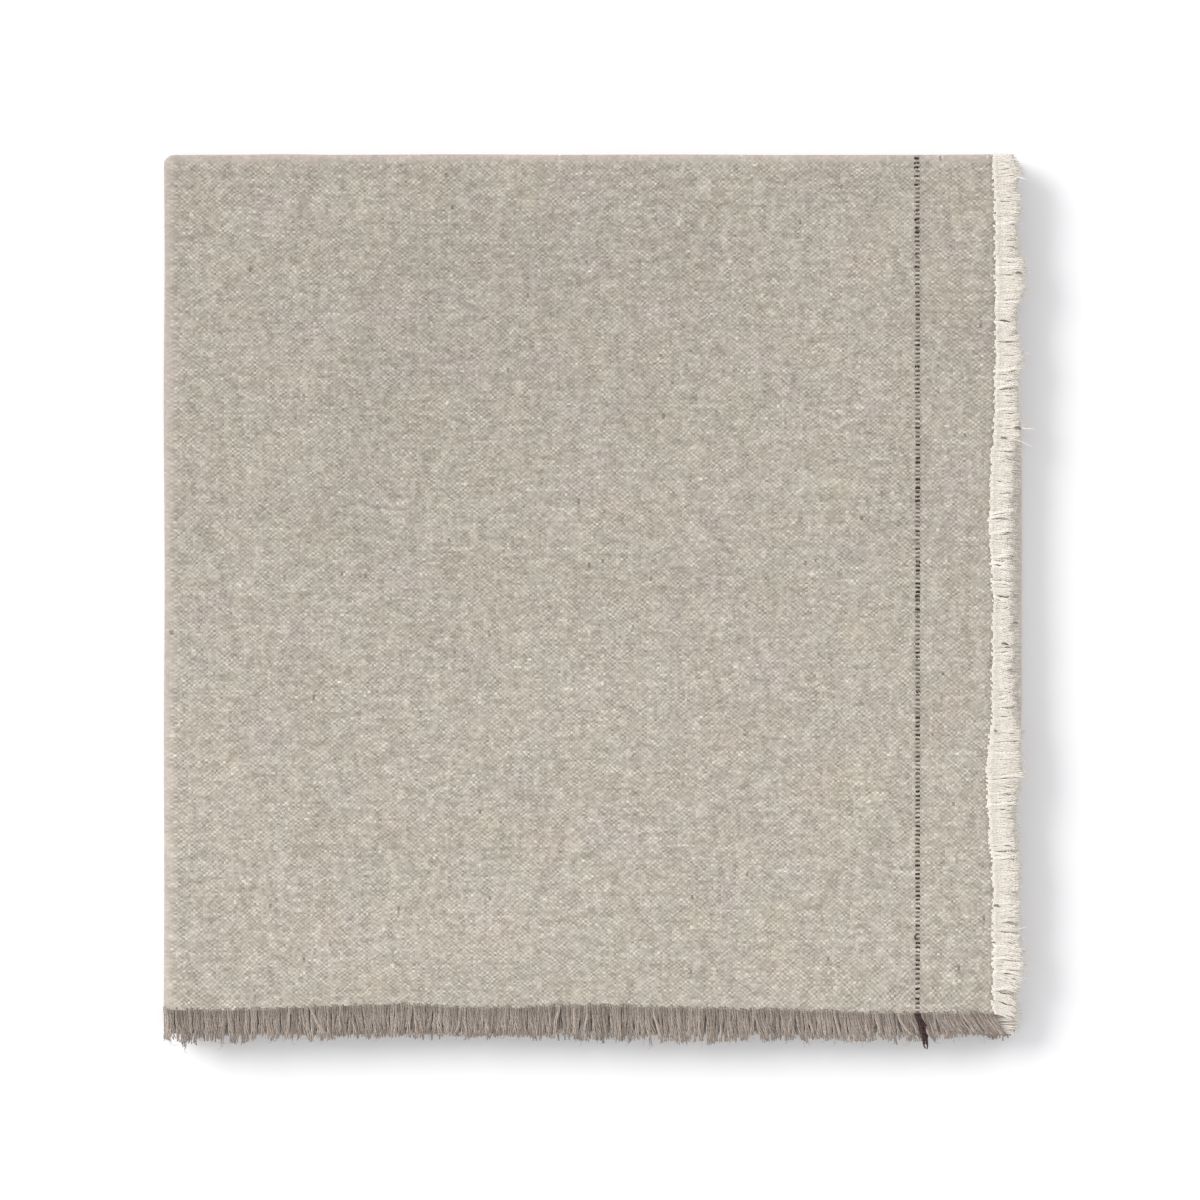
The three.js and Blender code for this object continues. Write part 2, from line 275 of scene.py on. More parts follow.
RIGHT_FOLD_IN = {
    "at": [0, 16, 76, 88, 102, 114, 150, 285, 300, 378, 392, 426],
    "back": [2.8, 1.5, 1.4, 3.6, 3.4, 1.2, -0.3, -0.4, 1.2, 2.2, 3.1, 3.8],
}
FRONT_FOLD_BACK = 1.3
LOFT = 0.55  # how far the top layer stands up at most
HUMP_LENGTH = 115
CREASES = table(
    "from to width depth",
    ((-350, 229), (-45, 201), 5, 0.2),
    ((-185, 154), (-65, 143), 4, 0.16),
    ((-392, 330), (-235, 392), 8, 0.14),
)
CREASE_WANDER = 2.5
print("creases in the top layer:", len(CREASES))

# %% Smooth unevenness
WAVES = 6


def ripple(x, y, wavelength, seed):
    """A smooth uneven surface between about -1 and 1, with humps a wavelength apart."""
    rng = np.random.default_rng(seed)
    total = 0
    for angle, phase, stretch in rng.uniform((0, 0, 0.7), (math.tau, math.tau, 1.4), (WAVES, 3)):
        along = x * math.cos(angle) + y * math.sin(angle)
        total = total + np.sin(math.tau * along / (wavelength * stretch) + phase)
    return 2 * total / WAVES


def smooth_step(value, low, high):
    """0 below low, 1 above high, and a soft S between them."""
    share = np.clip((value - low) / (high - low), 0, 1)
    return share * share * (3 - 2 * share)


def in_crease(crease, x, y):
    """1 at the bottom of a crease, 0 well beside it and past its ends."""
    start = np.array(crease["from"])
    line = np.array(crease["to"]) - start
    reach = np.hypot(*line)
    along = ((x - start[0]) * line[0] + (y - start[1]) * line[1]) / reach
    off = ((x - start[0]) * line[1] - (y - start[1]) * line[0]) / reach
    off = off + CREASE_WANDER * ripple(along, 0, 60, 8)
    inside = smooth_step(along, 0, reach / 4) * (1 - smooth_step(along, 3 * reach / 4, reach))
    return inside * np.exp(-((off / crease["width"]) ** 2))


# %% The swing of each frayed edge
def whole_edge(path, first_count, shown):
    """One edge's swing over its whole length: its shown table, and one value for each run below."""
    at = list(shown["at"]) if shown else []
    out = list(shown["out"]) if shown else []
    runs = [part for part in path["parts"] if "run to" in part][1 if shown else 0 :]
    for count, part in enumerate(runs, first_count):
        share = ((count + 1) * (math.sqrt(5) - 1) / 2 + 0.37) % 1
        at += [part["begins"], part["begins"] + part["length"]]
        out += [HIDDEN_EDGES_VARY * (2 * share - 1)] * 2
    return {"at": at, "out": out}


swings = {
    "cream first": whole_edge(layers, 0, CREAM_EDGE),
    "cream second": whole_edge(layers, 3, None),
    "taupe first": whole_edge(strips, 7, TAUPE_EDGE),
    "taupe second": whole_edge(strips, 10, None),
}
NIBBLE = 0.22  # the small unevenness of a frayed edge, one or two yarns deep


def swing(edge, along):
    """How far out of its straight line a frayed edge lies."""
    return np.interp(along, swings[edge]["at"], swings[edge]["out"]) + NIBBLE * ripple(along, 0, 13, 3)


print("the first cream edge swings out by", round(float(swing("cream first", 300.0)), 2), "mm at 300 mm")


# %% How the bundle lies
def loft_of_top(x, y):
    """How far the loose top layer stands up: soft humps, less along the creases and at the borders."""
    humps = 0.55 + 0.45 * ripple(x, y, HUMP_LENGTH, 5)
    for crease in CREASES:
        humps = humps - crease["depth"] / LOFT * in_crease(crease, x, y)
    across = smooth_step(x, -FOLDED_WIDTH + 8, -FOLDED_WIDTH + 60) * (1 - smooth_step(x, -40, -4))
    lengthwise = smooth_step(y, 4, 40) * (1 - smooth_step(y, FOLDED_LENGTH - 45, FOLDED_LENGTH - 5))
    return LOFT * np.clip(humps, 0.05, None) * across * lengthwise


def settled(x, y, z):
    """The bundle as it really lies: rounded at its closed corner, and with folds that bulge and wander."""
    height = 4 * STRIP_PITCH
    by_side = 1 - smooth_step(x, -FOLDED_WIDTH, -FOLDED_WIDTH + 30)
    by_back = smooth_step(y, FOLDED_LENGTH - 20, FOLDED_LENGTH)
    middle = 1 - (2 * z / height - 1) ** 2
    x = x - by_side * middle * SIDE_BULGE * (0.7 + 0.3 * ripple(y, 3 * z, 110, 11))
    x = x + by_side * (1 - middle) * SIDE_WANDER * ripple(y, 2 * z, 90, 12)
    y = y + by_back * BACK_WANDER * (1 - smooth_step(z, 17, 21)) * ripple(x, 7 * z, 95, 13)
    y = y + by_back * BACK_BOW * ripple(x, 2 * z, 120, 14)
    by_right = smooth_step(x, -4, 13) * (1 - smooth_step(z, 11, 14))
    x = x - by_right * np.interp(y, RIGHT_FOLD_IN["at"], RIGHT_FOLD_IN["back"])
    y = y + (1 - smooth_step(y, -12, 4)) * FRONT_FOLD_BACK * (1 + 0.5 * ripple(x, 9 * z, 60, 16))
    over_x = np.clip(-FOLDED_WIDTH + CORNER_ROUND - x, 0, CORNER_ROUND) / CORNER_ROUND
    over_y = np.clip(y - FOLDED_LENGTH + CORNER_ROUND, 0, CORNER_ROUND) / CORNER_ROUND
    x = x + CORNER_ROUND * over_x * (1 - np.sqrt(1 - over_y**2 / 2))
    y = y - CORNER_ROUND * over_y * (1 - np.sqrt(1 - over_x**2 / 2))
    return x, y, z


# %% From the flat cloth to the bundle
def place(u, v, w):
    """World places in metres of the flat cloth's points: u along the strips from the first cream edge, v
    along the layers from the first taupe edge, and w over the middle of the cloth, all in mm."""
    u, v, w = (np.array(value, float).ravel() for value in np.broadcast_arrays(u, v, w))
    near_first_u = np.clip(1 - u / EDGE_BAND, 0, 1)
    near_second_u = np.clip(1 - (strips["length"] - u) / EDGE_BAND, 0, 1)
    near_first_v = np.clip(1 - v / EDGE_BAND, 0, 1)
    near_second_v = np.clip(1 - (layers["length"] - v) / EDGE_BAND, 0, 1)
    moved_u = u - near_first_u * swing("cream first", v) + near_second_u * swing("cream second", v)
    moved_v = v - near_first_v * swing("taupe first", u) + near_second_v * swing("taupe second", u)
    layer, layer_face = on_path(layers, moved_v)
    y, depth = (layer + layer_face * w[:, None]).T
    strip, strip_face = on_path(strips, moved_u)
    x, z = (strip + strip_face * depth[:, None]).T
    rise = np.interp(x, RISE_ACROSS["at"], RISE_ACROSS["rise"])
    rise = rise + np.interp(y, RISE_ALONG["at"], RISE_ALONG["rise"])
    z = z * (1 + rise)
    on_top = (u < strips["parts"][1]["begins"]) & (v < layers["parts"][1]["begins"])
    z = z + np.where(on_top, loft_of_top(x, y), 0)
    x, y, z = settled(x, y, z)
    return open_corner + MM * np.stack([x, y, z], axis=1)


print("open corner lies at", np.round(place(0, 0, 0)[0] / MM, 1))

# %% [markdown]
# ## Broad light and dark
#
# Broad patches of painted shade and painted light stand in for how the soft relief of the loose top
# layer catches the light, and painted shade darkens the cloth along its old creases. Painted light makes
# the face palest at the front and darkest towards the back, under a faint mottle. A table holds the largest
# patches, and the result is kept at the sheet's corners as an attribute that its finish reads.

# %% Patches of painted shade and light on the top layer, in mm of the flat cloth
LIGHT_AND_SHADE_PATCHES = table(
    "u v wide long shade",
    (225, 370, 60, 34, -0.045),
    (302, 300, 40, 62, -0.045),
    (145, 366, 34, 24, -0.035),
    (250, 322, 36, 30, -0.03),
    (325, 240, 34, 24, -0.04),
    (345, 170, 15, 40, -0.03),
    (151, 174, 8, 7, -0.045),
    (345, 88, 14, 16, -0.03),
    (389, 110, 16, 50, 0.035),
    (338, 28, 30, 16, 0.035),
    (248, 48, 45, 22, 0.03),
    (75, 340, 22, 60, 0.035),
    (45, 382, 22, 12, 0.03),
    (277, 148, 12, 10, 0.03),
    (14, 210, 16, 300, 0.05),
)
# painted light: the face is lighter at the front and darker towards the back
PAINTED_LIGHT_AT_FRONT = 0.052
# painted shade along the old creases
CREASE_SHADE = 0.035


def shade_of(u, v):
    """How much painted light and shade lighten or darken the cloth at points of the flat cloth, against its
    mean of 1.
    """
    shade = 1 + PAINTED_LIGHT_AT_FRONT * np.cos(math.pi * v / FOLDED_LENGTH) + 0.012 * ripple(u, v, 90, 15)
    for patch in LIGHT_AND_SHADE_PATCHES:
        off = ((u - patch["u"]) / patch["wide"]) ** 2 + ((v - patch["v"]) / patch["long"]) ** 2
        shade = shade + patch["shade"] * np.exp(-off)
    # painted shade along the creases
    for crease in CREASES:
        shade = shade - CREASE_SHADE * in_crease(crease, -u, v)
    return shade


print("shade at the front and the back:", np.round(shade_of(200.0, np.array([20.0, 400.0])), 3))

# %% [markdown]
# ## The woven sheet
#
# The cloth is one sheet about a millimetre thick. It starts as a flat grid, as a weaver would see it, with
# narrow cells where it will turn. Each corner of the grid is then moved to its place in the folded bundle,
# and Solidify gives the sheet its thickness. The UV map keeps the flat cloth, so that the weave follows
# every fold.


# %% Helpers for pieces
def only(piece):
    """Selects this piece alone and makes it active."""
    bpy.ops.object.select_all(action="DESELECT")
    piece.select_set(True)
    bpy.context.view_layer.objects.active = piece


def cuts_of(path):
    """Where a path is cut into cells, from its rows."""
    cuts = []
    for part in path["parts"]:
        steps = np.arange(part["cells"]) / part["cells"]
        cuts.append(part["begins"] + part["length"] * steps)
    return np.append(np.concatenate(cuts), path["length"])


def triangles_of(piece):
    """How many triangles the mesh of a piece has."""
    piece.data.calc_loop_triangles()
    return len(piece.data.loop_triangles)


# %% The sheet on its folds
cuts_u = cuts_of(strips)
cuts_v = cuts_of(layers)
columns = len(cuts_u) - 1
rows = len(cuts_v) - 1
bpy.ops.mesh.primitive_grid_add(x_subdivisions=columns, y_subdivisions=rows, size=2)
cloth = bpy.context.object
cloth.name = "woven_cloth"
flat = np.empty(len(cloth.data.vertices) * 3, np.float32)
cloth.data.vertices.foreach_get("co", flat)
flat = flat.reshape(-1, 3)
u_of_corner = cuts_u[np.rint((flat[:, 0] + 1) / 2 * columns).astype(int)]
v_of_corner = cuts_v[np.rint((flat[:, 1] + 1) / 2 * rows).astype(int)]
cloth.data.vertices.foreach_set("co", place(u_of_corner, v_of_corner, 0).astype(np.float32).ravel())

corner_of_loop = np.empty(len(cloth.data.loops), np.int32)
cloth.data.loops.foreach_get("vertex_index", corner_of_loop)
share_u = u_of_corner / strips["length"]
share_v = v_of_corner / layers["length"]
flat_map = cloth.data.uv_layers[0]
flat_map.name = "flat cloth"
flat_map.uv.foreach_set("vector", np.stack([share_u, share_v], 1)[corner_of_loop].astype(np.float32).ravel())
# the painted light and shade of shade_of, kept at each corner of the sheet
shade = cloth.data.attributes.new("shade", "FLOAT", "POINT")
shade.data.foreach_set("value", shade_of(u_of_corner, v_of_corner).astype(np.float32))
cloth.data.update()

only(cloth)
solidify = cloth.modifiers.new("thickness", "SOLIDIFY")
solidify.thickness = THICKNESS * MM
solidify.offset = 0
solidify.use_even_offset = True
bpy.ops.object.modifier_apply(modifier=solidify.name)
bpy.ops.object.mode_set(mode="EDIT")
bpy.ops.mesh.select_all(action="SELECT")
bpy.ops.mesh.normals_make_consistent(inside=False)
bpy.ops.object.mode_set(mode="OBJECT")
bpy.ops.object.shade_smooth_by_angle(angle=math.radians(50))
print("woven sheet:", columns, "x", rows, "cells,", triangles_of(cloth), "triangles")

# %% [markdown]
# ## The weave
#
# In plain weave each warp yarn passes over one pick of weft and under the next, and its neighbours do the
# opposite, so taupe and cream dots alternate like a chess board. There are far too many crossings to model,
# so the weave is worked out by nodes from the flat cloth's map: which yarn lies on top at each point, how
# high it stands and how thick and dark it is there. The height goes to Bump, the rest to the colour.


# %% A short way to write materials
class Recipe:
    """The nodes of one material, with short ways to add the usual kinds."""

    def __init__(self, name):
        self.material = bpy.data.materials.new(name)
        self.material.use_nodes = True
        self.tree = self.material.node_tree
        self.shader = self.tree.nodes["Principled BSDF"]

    def fill(self, socket, value):
        if isinstance(value, bpy.types.NodeSocket):
            self.tree.links.new(value, socket)
        else:
            socket.default_value = value

    def add(self, kind, output, inputs, **options):
        node = self.tree.nodes.new("ShaderNode" + kind)
        for option, value in options.items():
            setattr(node, option, value)
        for name, value in inputs.items():
            self.fill(node.inputs[name], value)
        return node.outputs[output]

    def calc(self, operation, *values):
        return self.add("Math", 0, dict(enumerate(values)), operation=operation)

    def vector(self, x, y, z=0.0):
        return self.add("CombineXYZ", 0, {0: x, 1: y, 2: z})

    def split(self, vector, axis):
        return self.add("SeparateXYZ", axis, {0: vector})

    def noise(self, vector, scale, detail=1.0, output="Fac"):
        inputs = {"Vector": vector, "Scale": scale, "Detail": detail, "Roughness": 0.55}
        return self.add("TexNoise", output, inputs)

    def remap(self, value, low, high, to_low, to_high):
        return self.add("MapRange", 0, {0: value, 1: low, 2: high, 3: to_low, 4: to_high})

    def mixed(self, share, first, second):
        return self.add("Mix", 2, {0: share, 6: first, 7: second}, data_type="RGBA")

    def shaded(self, colour, factor):
        return self.add("VectorMath", 0, {0: colour, 3: factor}, operation="SCALE")

    def finish(self, colour, roughness, sheen, height, bump_height, bump_strength):
        self.fill(self.shader.inputs["Base Color"], colour)
        self.fill(self.shader.inputs["Roughness"], roughness)
        self.shader.inputs["Specular IOR Level"].default_value = 0.2
        self.shader.inputs["Sheen Weight"].default_value = sheen
        self.shader.inputs["Sheen Roughness"].default_value = 0.5
        inputs = {"Height": height, "Distance": bump_height, "Strength": bump_strength}
        self.fill(self.shader.inputs["Normal"], self.add("Bump", 0, inputs))
        print("material", self.material.name, "with", len(self.tree.nodes), "nodes")
        return self.material


def linear(red, green, blue):
    """A colour as a paint chart gives it, 0 to 255, made ready for a shader's socket."""
    shares = [value / 255 for value in (red, green, blue)]
    lit = [share / 12.92 if share <= 0.04045 else ((share + 0.055) / 1.055) ** 2.4 for share in shares]
    return (*lit, 1)


# %% Where a point lies in the weave
WARP_PITCH = 1.27  # mm from one taupe warp yarn to the next
PICK_PITCH = 1.08  # mm from one cream pick to the next
BROWN_LINE = 36.7  # mm from the cream edge to the brown yarns
BROWN_WIDTH = 2.3
ARCH = 0.5  # how far a yarn rises over and under the other, against its own roundness
ROUNDNESS = 0.42

weave = Recipe("woven cloth")
flat_uv = weave.add("UVMap", 0, {}, uv_map="flat cloth")
along_u = weave.calc("MULTIPLY", weave.split(flat_uv, 0), strips["length"])
along_v = weave.calc("MULTIPLY", weave.split(flat_uv, 1), layers["length"])
flat_mm = weave.vector(along_u, along_v)

wander = weave.noise(flat_mm, 1 / 17, 2.0, "Color")
jitter = weave.noise(flat_mm, 1 / 2.6, 1.0, "Color")


def counted(along, pitch, axis):
    """Which yarn of a set lies at a point, as a number with a fraction. Yarns wander and jostle."""
    wandering = weave.calc("MULTIPLY", weave.split(wander, axis), 2.2)
    count = weave.calc("MULTIPLY_ADD", along, 1 / pitch, wandering)
    return weave.calc("MULTIPLY_ADD", weave.split(jitter, axis), 1.3, count)


threads = counted(along_u, WARP_PITCH, 0)
picks = counted(along_v, PICK_PITCH, 1)
brown_off = weave.calc("DIVIDE", weave.calc("SUBTRACT", along_u, BROWN_LINE), BROWN_WIDTH)
in_brown = weave.calc("LESS_THAN", weave.calc("ABSOLUTE", brown_off), 0.5)

thread = weave.calc("FLOOR", threads)
pick = weave.calc("FLOOR", picks)
off_thread = weave.calc("SUBTRACT", weave.calc("FRACT", threads), 0.5)
off_pick = weave.calc("SUBTRACT", weave.calc("FRACT", picks), 0.5)
keep = weave.calc("SUBTRACT", 1.0, in_brown)
off_thread = weave.calc("MULTIPLY_ADD", in_brown, brown_off, weave.calc("MULTIPLY", off_thread, keep))
thread = weave.calc("MULTIPLY", thread, keep)
odd = weave.calc("MODULO", weave.calc("ADD", thread, pick), 2.0)
warp_side = weave.calc("MULTIPLY_ADD", odd, -2.0, 1.0)
print("yarns in the cloth:", round(strips["length"] / WARP_PITCH), "by", round(layers["length"] / PICK_PITCH))

# %% How thick and how light each yarn is there
warp_grain = weave.noise(weave.vector(weave.calc("MULTIPLY", thread, 7.31), along_v), 0.09, 2.0, "Color")
weft_grain = weave.noise(weave.vector(along_u, weave.calc("MULTIPLY", pick, 7.31), 60.0), 0.09, 2.0, "Color")
warp_width = weave.remap(weave.split(warp_grain, 0), 0.3, 0.7, 0.42, 0.62)
weft_width = weave.remap(weave.split(weft_grain, 0), 0.3, 0.7, 0.42, 0.64)


def yarn_height(side, off_across, width, off_other):
    """Height of one yarn at a point: an arch over the crossing yarn, and the yarn's own round section."""
    arch = weave.calc("COSINE", weave.calc("MULTIPLY", off_other, math.pi))
    arch = weave.calc("MULTIPLY", weave.calc("MULTIPLY", arch, side), ARCH)
    section = weave.calc("POWER", weave.calc("DIVIDE", off_across, width), 2.0)
    return weave.calc("MULTIPLY_ADD", weave.calc("SUBTRACT", 1.0, section), ROUNDNESS, arch)


warp_height = yarn_height(warp_side, off_thread, warp_width, off_pick)
weft_side = weave.calc("MULTIPLY", warp_side, -1.0)
weft_height = yarn_height(weft_side, off_pick, weft_width, off_thread)
warp_shows = weave.calc("SUBTRACT", warp_height, weft_height)
warp_shows = weave.remap(warp_shows, -0.16, 0.16, 0.0, 1.0)
surface = weave.calc("MAXIMUM", warp_height, weft_height)

# %% [markdown]
# The eye links the dots of a plain weave into slanting streaks, where a few dots in a row are fuller or
# flatter than their neighbours. Two noises drawn out along the two diagonals give these streaks. Where the
# cloth turns round its outer folds it is drawn tight and worn, so the dots there are faint, and the folds
# are painted paler, partly for that wear and partly as painted light. Each fold also has a painted tone of
# its own: painted shade on the side fold, painted light on the back and right folds.


# %% Streaks, and worn folds with painted light and shade
FOLD_FADES = 2.6  # mm over which a fold's paler look sets in


def streak(across, along, seed):
    """A noise drawn out along one diagonal of the weave."""
    drawn_out = weave.vector(weave.calc("MULTIPLY", across, 0.6), weave.calc("MULTIPLY", along, 0.13), seed)
    return weave.noise(drawn_out, 1.0, 1.0)


def on_fold(along, path, first, last, beyond=0.0):
    """1 on the outside of a fold, which may be several parts of a path, and 0 from just beyond it."""
    begin = path["parts"][first]["begins"]
    end = path["parts"][last]["begins"] + path["parts"][last]["length"]
    off = weave.calc("ABSOLUTE", weave.calc("SUBTRACT", along, (begin + end) / 2))
    outside = (end - begin) / 2 + beyond
    return weave.remap(off, outside - FOLD_FADES, outside, 1.0, 0.0)


thread_plus_pick = weave.calc("ADD", threads, picks)
thread_minus_pick = weave.calc("SUBTRACT", threads, picks)
rising = streak(thread_minus_pick, thread_plus_pick, 3.0)
falling = streak(thread_plus_pick, thread_minus_pick, 40.0)
side_fold = on_fold(along_u, strips, 1, 3)
back_fold = on_fold(along_v, layers, 1, 1, 2.6)
right_fold = on_fold(along_u, strips, 5, 5, 2.0)
# the outer folds, where the cloth is worn and is also given painted light
worn_and_lit = weave.calc("MAXIMUM", weave.calc("MAXIMUM", side_fold, back_fold), right_fold)
crisp = weave.remap(weave.noise(flat_mm, 1 / 5, 2.0), 0.35, 0.65, 0.3, 0.72)
crisp = weave.calc("MULTIPLY", crisp, weave.calc("MULTIPLY_ADD", worn_and_lit, -0.45, 1.0))
crisp = weave.calc("MAXIMUM", crisp, weave.calc("MULTIPLY", in_brown, 0.9))
warp_shows = weave.calc("MULTIPLY_ADD", weave.calc("SUBTRACT", warp_shows, 0.5), crisp, 0.5)

# %% Colours of the yarns in the weave
TAUPE_DARK = linear(130, 121, 111)
TAUPE_LIGHT = linear(168, 160, 148)
CREAM_DARK = linear(168, 160, 148)
CREAM_LIGHT = linear(208, 201, 189)
BROWN_DARK = linear(50, 32, 31)
BROWN_LIGHT = linear(112, 96, 89)
BROWN_FAINT = linear(126, 112, 103)
UNDER_BROWN = 0.8  # how light the cream picks are in the middle of the brown line
# paler colour of the folds: partly their wear, partly painted light
WORN_AND_LIT = linear(184, 172, 163)

warp_tone = weave.remap(weave.split(warp_grain, 1), 0.3, 0.7, 0.0, 1.0)
weft_tone = weave.remap(weave.split(weft_grain, 1), 0.3, 0.7, 0.0, 1.0)
warp_colour = weave.mixed(warp_tone, TAUPE_DARK, TAUPE_LIGHT)
brown_colour = weave.mixed(warp_tone, BROWN_LIGHT, BROWN_FAINT)
warp_colour = weave.mixed(in_brown, warp_colour, brown_colour)
weft_colour = weave.mixed(weft_tone, CREAM_DARK, CREAM_LIGHT)
colour = weave.mixed(warp_shows, weft_colour, warp_colour)
# the folds painted paler: partly wear, partly painted light
colour = weave.mixed(weave.calc("MULTIPLY", worn_and_lit, 0.5), colour, WORN_AND_LIT)


# %% Slubs
def white_noise(first, second):
    """A number from 0 to 1 for each pair of whole numbers."""
    pair = {"Vector": weave.vector(first, second)}
    return weave.add("TexWhiteNoise", "Value", pair, noise_dimensions="2D")


def slub(yarn, along, length, chance):
    """1 on a few short stretches of single yarns, 0 elsewhere."""
    stretch = weave.calc("FLOOR", weave.calc("MULTIPLY_ADD", yarn, 0.37, weave.calc("DIVIDE", along, length)))
    return weave.calc("LESS_THAN", white_noise(yarn, stretch), chance)


DARK_SLUB = linear(98, 86, 76)
PALE_SLUB = linear(224, 217, 205)
dark_slub = slub(thread, along_v, 2.2, 0.0005)
pale_slub = weave.calc("MAXIMUM", slub(pick, along_u, 2.0, 0.0012), slub(thread, along_v, 1.6, 0.0008))
colour = weave.mixed(weave.calc("MULTIPLY", dark_slub, 0.6), colour, DARK_SLUB)
colour = weave.mixed(weave.calc("MULTIPLY", pale_slub, 0.5), colour, PALE_SLUB)

# %% Tones, painted shade and painted light, dot by dot and fold by fold
STREAK = 0.14  # how much lighter or darker a streak is
FAINTER_ON_FOLDS = 0.6
fibre = weave.noise(flat_mm, 3.2, 2.0)
mottle = weave.noise(flat_mm, 1 / 7, 2.0)
blush = weave.noise(flat_mm, 1 / 26, 2.0, "Color")
each_dot = white_noise(thread, pick)
streak_low = weave.calc("MULTIPLY_ADD", worn_and_lit, STREAK * FAINTER_ON_FOLDS, 1 - STREAK)
streak_high = weave.calc("MULTIPLY_ADD", worn_and_lit, -STREAK * FAINTER_ON_FOLDS, 1 + STREAK)
TONES = [
    # painted shade in the hollows between the yarns
    weave.remap(surface, 0.0, 0.65, 0.88, 1.0),
    weave.remap(each_dot, 0.0, 1.0, 0.92, 1.08),
    weave.remap(fibre, 0.25, 0.75, 0.95, 1.05),
    weave.remap(rising, 0.3, 0.7, streak_low, streak_high),
    weave.remap(falling, 0.3, 0.7, streak_low, streak_high),
    weave.remap(mottle, 0.3, 0.7, 0.98, 1.02),
    # painted shade along the cream edge, where the fringe's roots meet the cloth
    weave.remap(along_u, -0.2, 2.4, 0.7, 1.0),
    # painted shade on the side fold, painted light on the back and right folds
    weave.remap(side_fold, 0.0, 1.0, 1.0, 0.86),
    weave.remap(back_fold, 0.0, 1.0, 1.0, 1.04),
    weave.remap(right_fold, 0.0, 1.0, 1.0, 1.3),
    weave.remap(weave.calc("ABSOLUTE", brown_off), 0.1, 0.9, UNDER_BROWN, 1.0),
    # painted light and shade of the broad patches, the front and the creases
    weave.add("Attribute", "Fac", {}, attribute_name="shade"),
]
for tone in TONES:
    colour = weave.shaded(colour, tone)
tint = weave.vector(
    weave.remap(weave.split(blush, 0), 0.3, 0.7, 0.985, 1.015),
    weave.remap(weave.split(blush, 1), 0.3, 0.7, 0.99, 1.01),
    weave.remap(weave.split(blush, 2), 0.3, 0.7, 0.975, 1.025),
)
colour = weave.add("VectorMath", 0, {0: colour, 1: tint}, operation="MULTIPLY")
rough_surface = weave.calc("MULTIPLY_ADD", fibre, 0.35, surface)
woven_finish = weave.finish(colour, 0.88, 0.15, rough_surface, 0.00035, 0.22)
cloth.data.materials.append(woven_finish)

# %% [markdown]
# ## One yarn, and many copies of it
#
# The fringe is the cloth's own yarns with the crossing ones pulled out. One yarn is modelled as a straight
# slim rod cut into rings. Each copy is then led along a line of its own, where it grows thinner to its
# tip, and all copies of a fringe are joined to one mesh.


# %% The yarn
def as_arrays(piece):
    """The corners, faces and map of a small shape as arrays. The piece itself is removed."""
    shape = {
        "corners": np.array([corner.co for corner in piece.data.vertices]),
        "faces": [np.array(face.vertices) for face in piece.data.polygons],
        "uv": np.array([spot.vector for spot in piece.data.uv_layers[0].uv]),
    }
    bpy.data.objects.remove(piece)
    return shape


def straight_yarn(sides, segments):
    """A rod of radius 1 and length 1 along Z, cut into rings, as arrays."""
    bpy.ops.object.select_all(action="DESELECT")
    bpy.ops.mesh.primitive_cylinder_add(vertices=sides, radius=1, depth=1, location=(0, 0, 0.5))
    rod = bpy.context.object
    bpy.ops.object.transform_apply(location=True, rotation=False, scale=False)
    bpy.ops.object.mode_set(mode="EDIT")
    bpy.ops.mesh.select_mode(type="EDGE")
    bpy.ops.mesh.select_all(action="DESELECT")
    bpy.ops.object.mode_set(mode="OBJECT")
    for edge in rod.data.edges:
        ends = [rod.data.vertices[corner].co.z for corner in edge.vertices]
        edge.select = abs(ends[0] - ends[1]) > 0.5
    bpy.ops.object.mode_set(mode="EDIT")
    bpy.ops.mesh.subdivide(number_cuts=segments - 1)
    bpy.ops.object.mode_set(mode="OBJECT")
    return dict(as_arrays(rod), segments=segments)


fine_yarn = straight_yarn(4, 8)
plain_yarn = straight_yarn(4, 5)
thick_yarn = straight_yarn(8, 16)
hair = straight_yarn(3, 3)
print("a fine yarn has", len(fine_yarn["faces"]), "faces, a plain one", len(plain_yarn["faces"]))


# %% Many copies as one mesh
def joined(name, batches):
    """One piece of many copies. A batch is a shape, the places of its corners for each copy, and tones."""
    places, loops, starts, uvs, tones = [], [], [], [], []
    corner_count = 0
    loop_count = 0
    for shape, corners, tone in batches:
        copies, per_copy = corners.shape[:2]
        loop_of_shape = np.concatenate(shape["faces"])
        sizes = np.array([len(face) for face in shape["faces"]])
        first = np.arange(copies)[:, None]
        loops.append((corner_count + first * per_copy + loop_of_shape).ravel())
        starts.append((loop_count + first * len(loop_of_shape) + np.cumsum(sizes) - sizes).ravel())
        uvs.append(np.tile(shape["uv"], (copies, 1)))
        tones.append(np.repeat(tone, per_copy))
        places.append(corners.reshape(-1, 3))
        corner_count += copies * per_copy
        loop_count += copies * len(loop_of_shape)
    mesh = bpy.data.meshes.new(name)
    mesh.vertices.add(corner_count)
    mesh.loops.add(loop_count)
    starts = np.concatenate(starts)
    mesh.polygons.add(len(starts))
    mesh.vertices.foreach_set("co", np.concatenate(places).astype(np.float32).ravel())
    mesh.loops.foreach_set("vertex_index", np.concatenate(loops).astype(np.int32))
    mesh.polygons.foreach_set("loop_start", starts.astype(np.int32))
    mesh.polygons.foreach_set("use_smooth", np.ones(len(starts), bool))
    mesh.update(calc_edges=True)
    mesh.uv_layers.new(name="yarn").uv.foreach_set("vector", np.concatenate(uvs).astype(np.float32).ravel())
    tone_of_corner = mesh.attributes.new("tone", "FLOAT", "POINT")
    tone_of_corner.data.foreach_set("value", np.concatenate(tones).astype(np.float32))
    mesh.validate()
    piece = bpy.data.objects.new(name, mesh)
    bpy.context.collection.objects.link(piece)
    print(name, "has", triangles_of(piece), "triangles")
    return piece


NEARLY_UP = (0.02, 0.03, 1.0)  # a direction that no yarn runs along


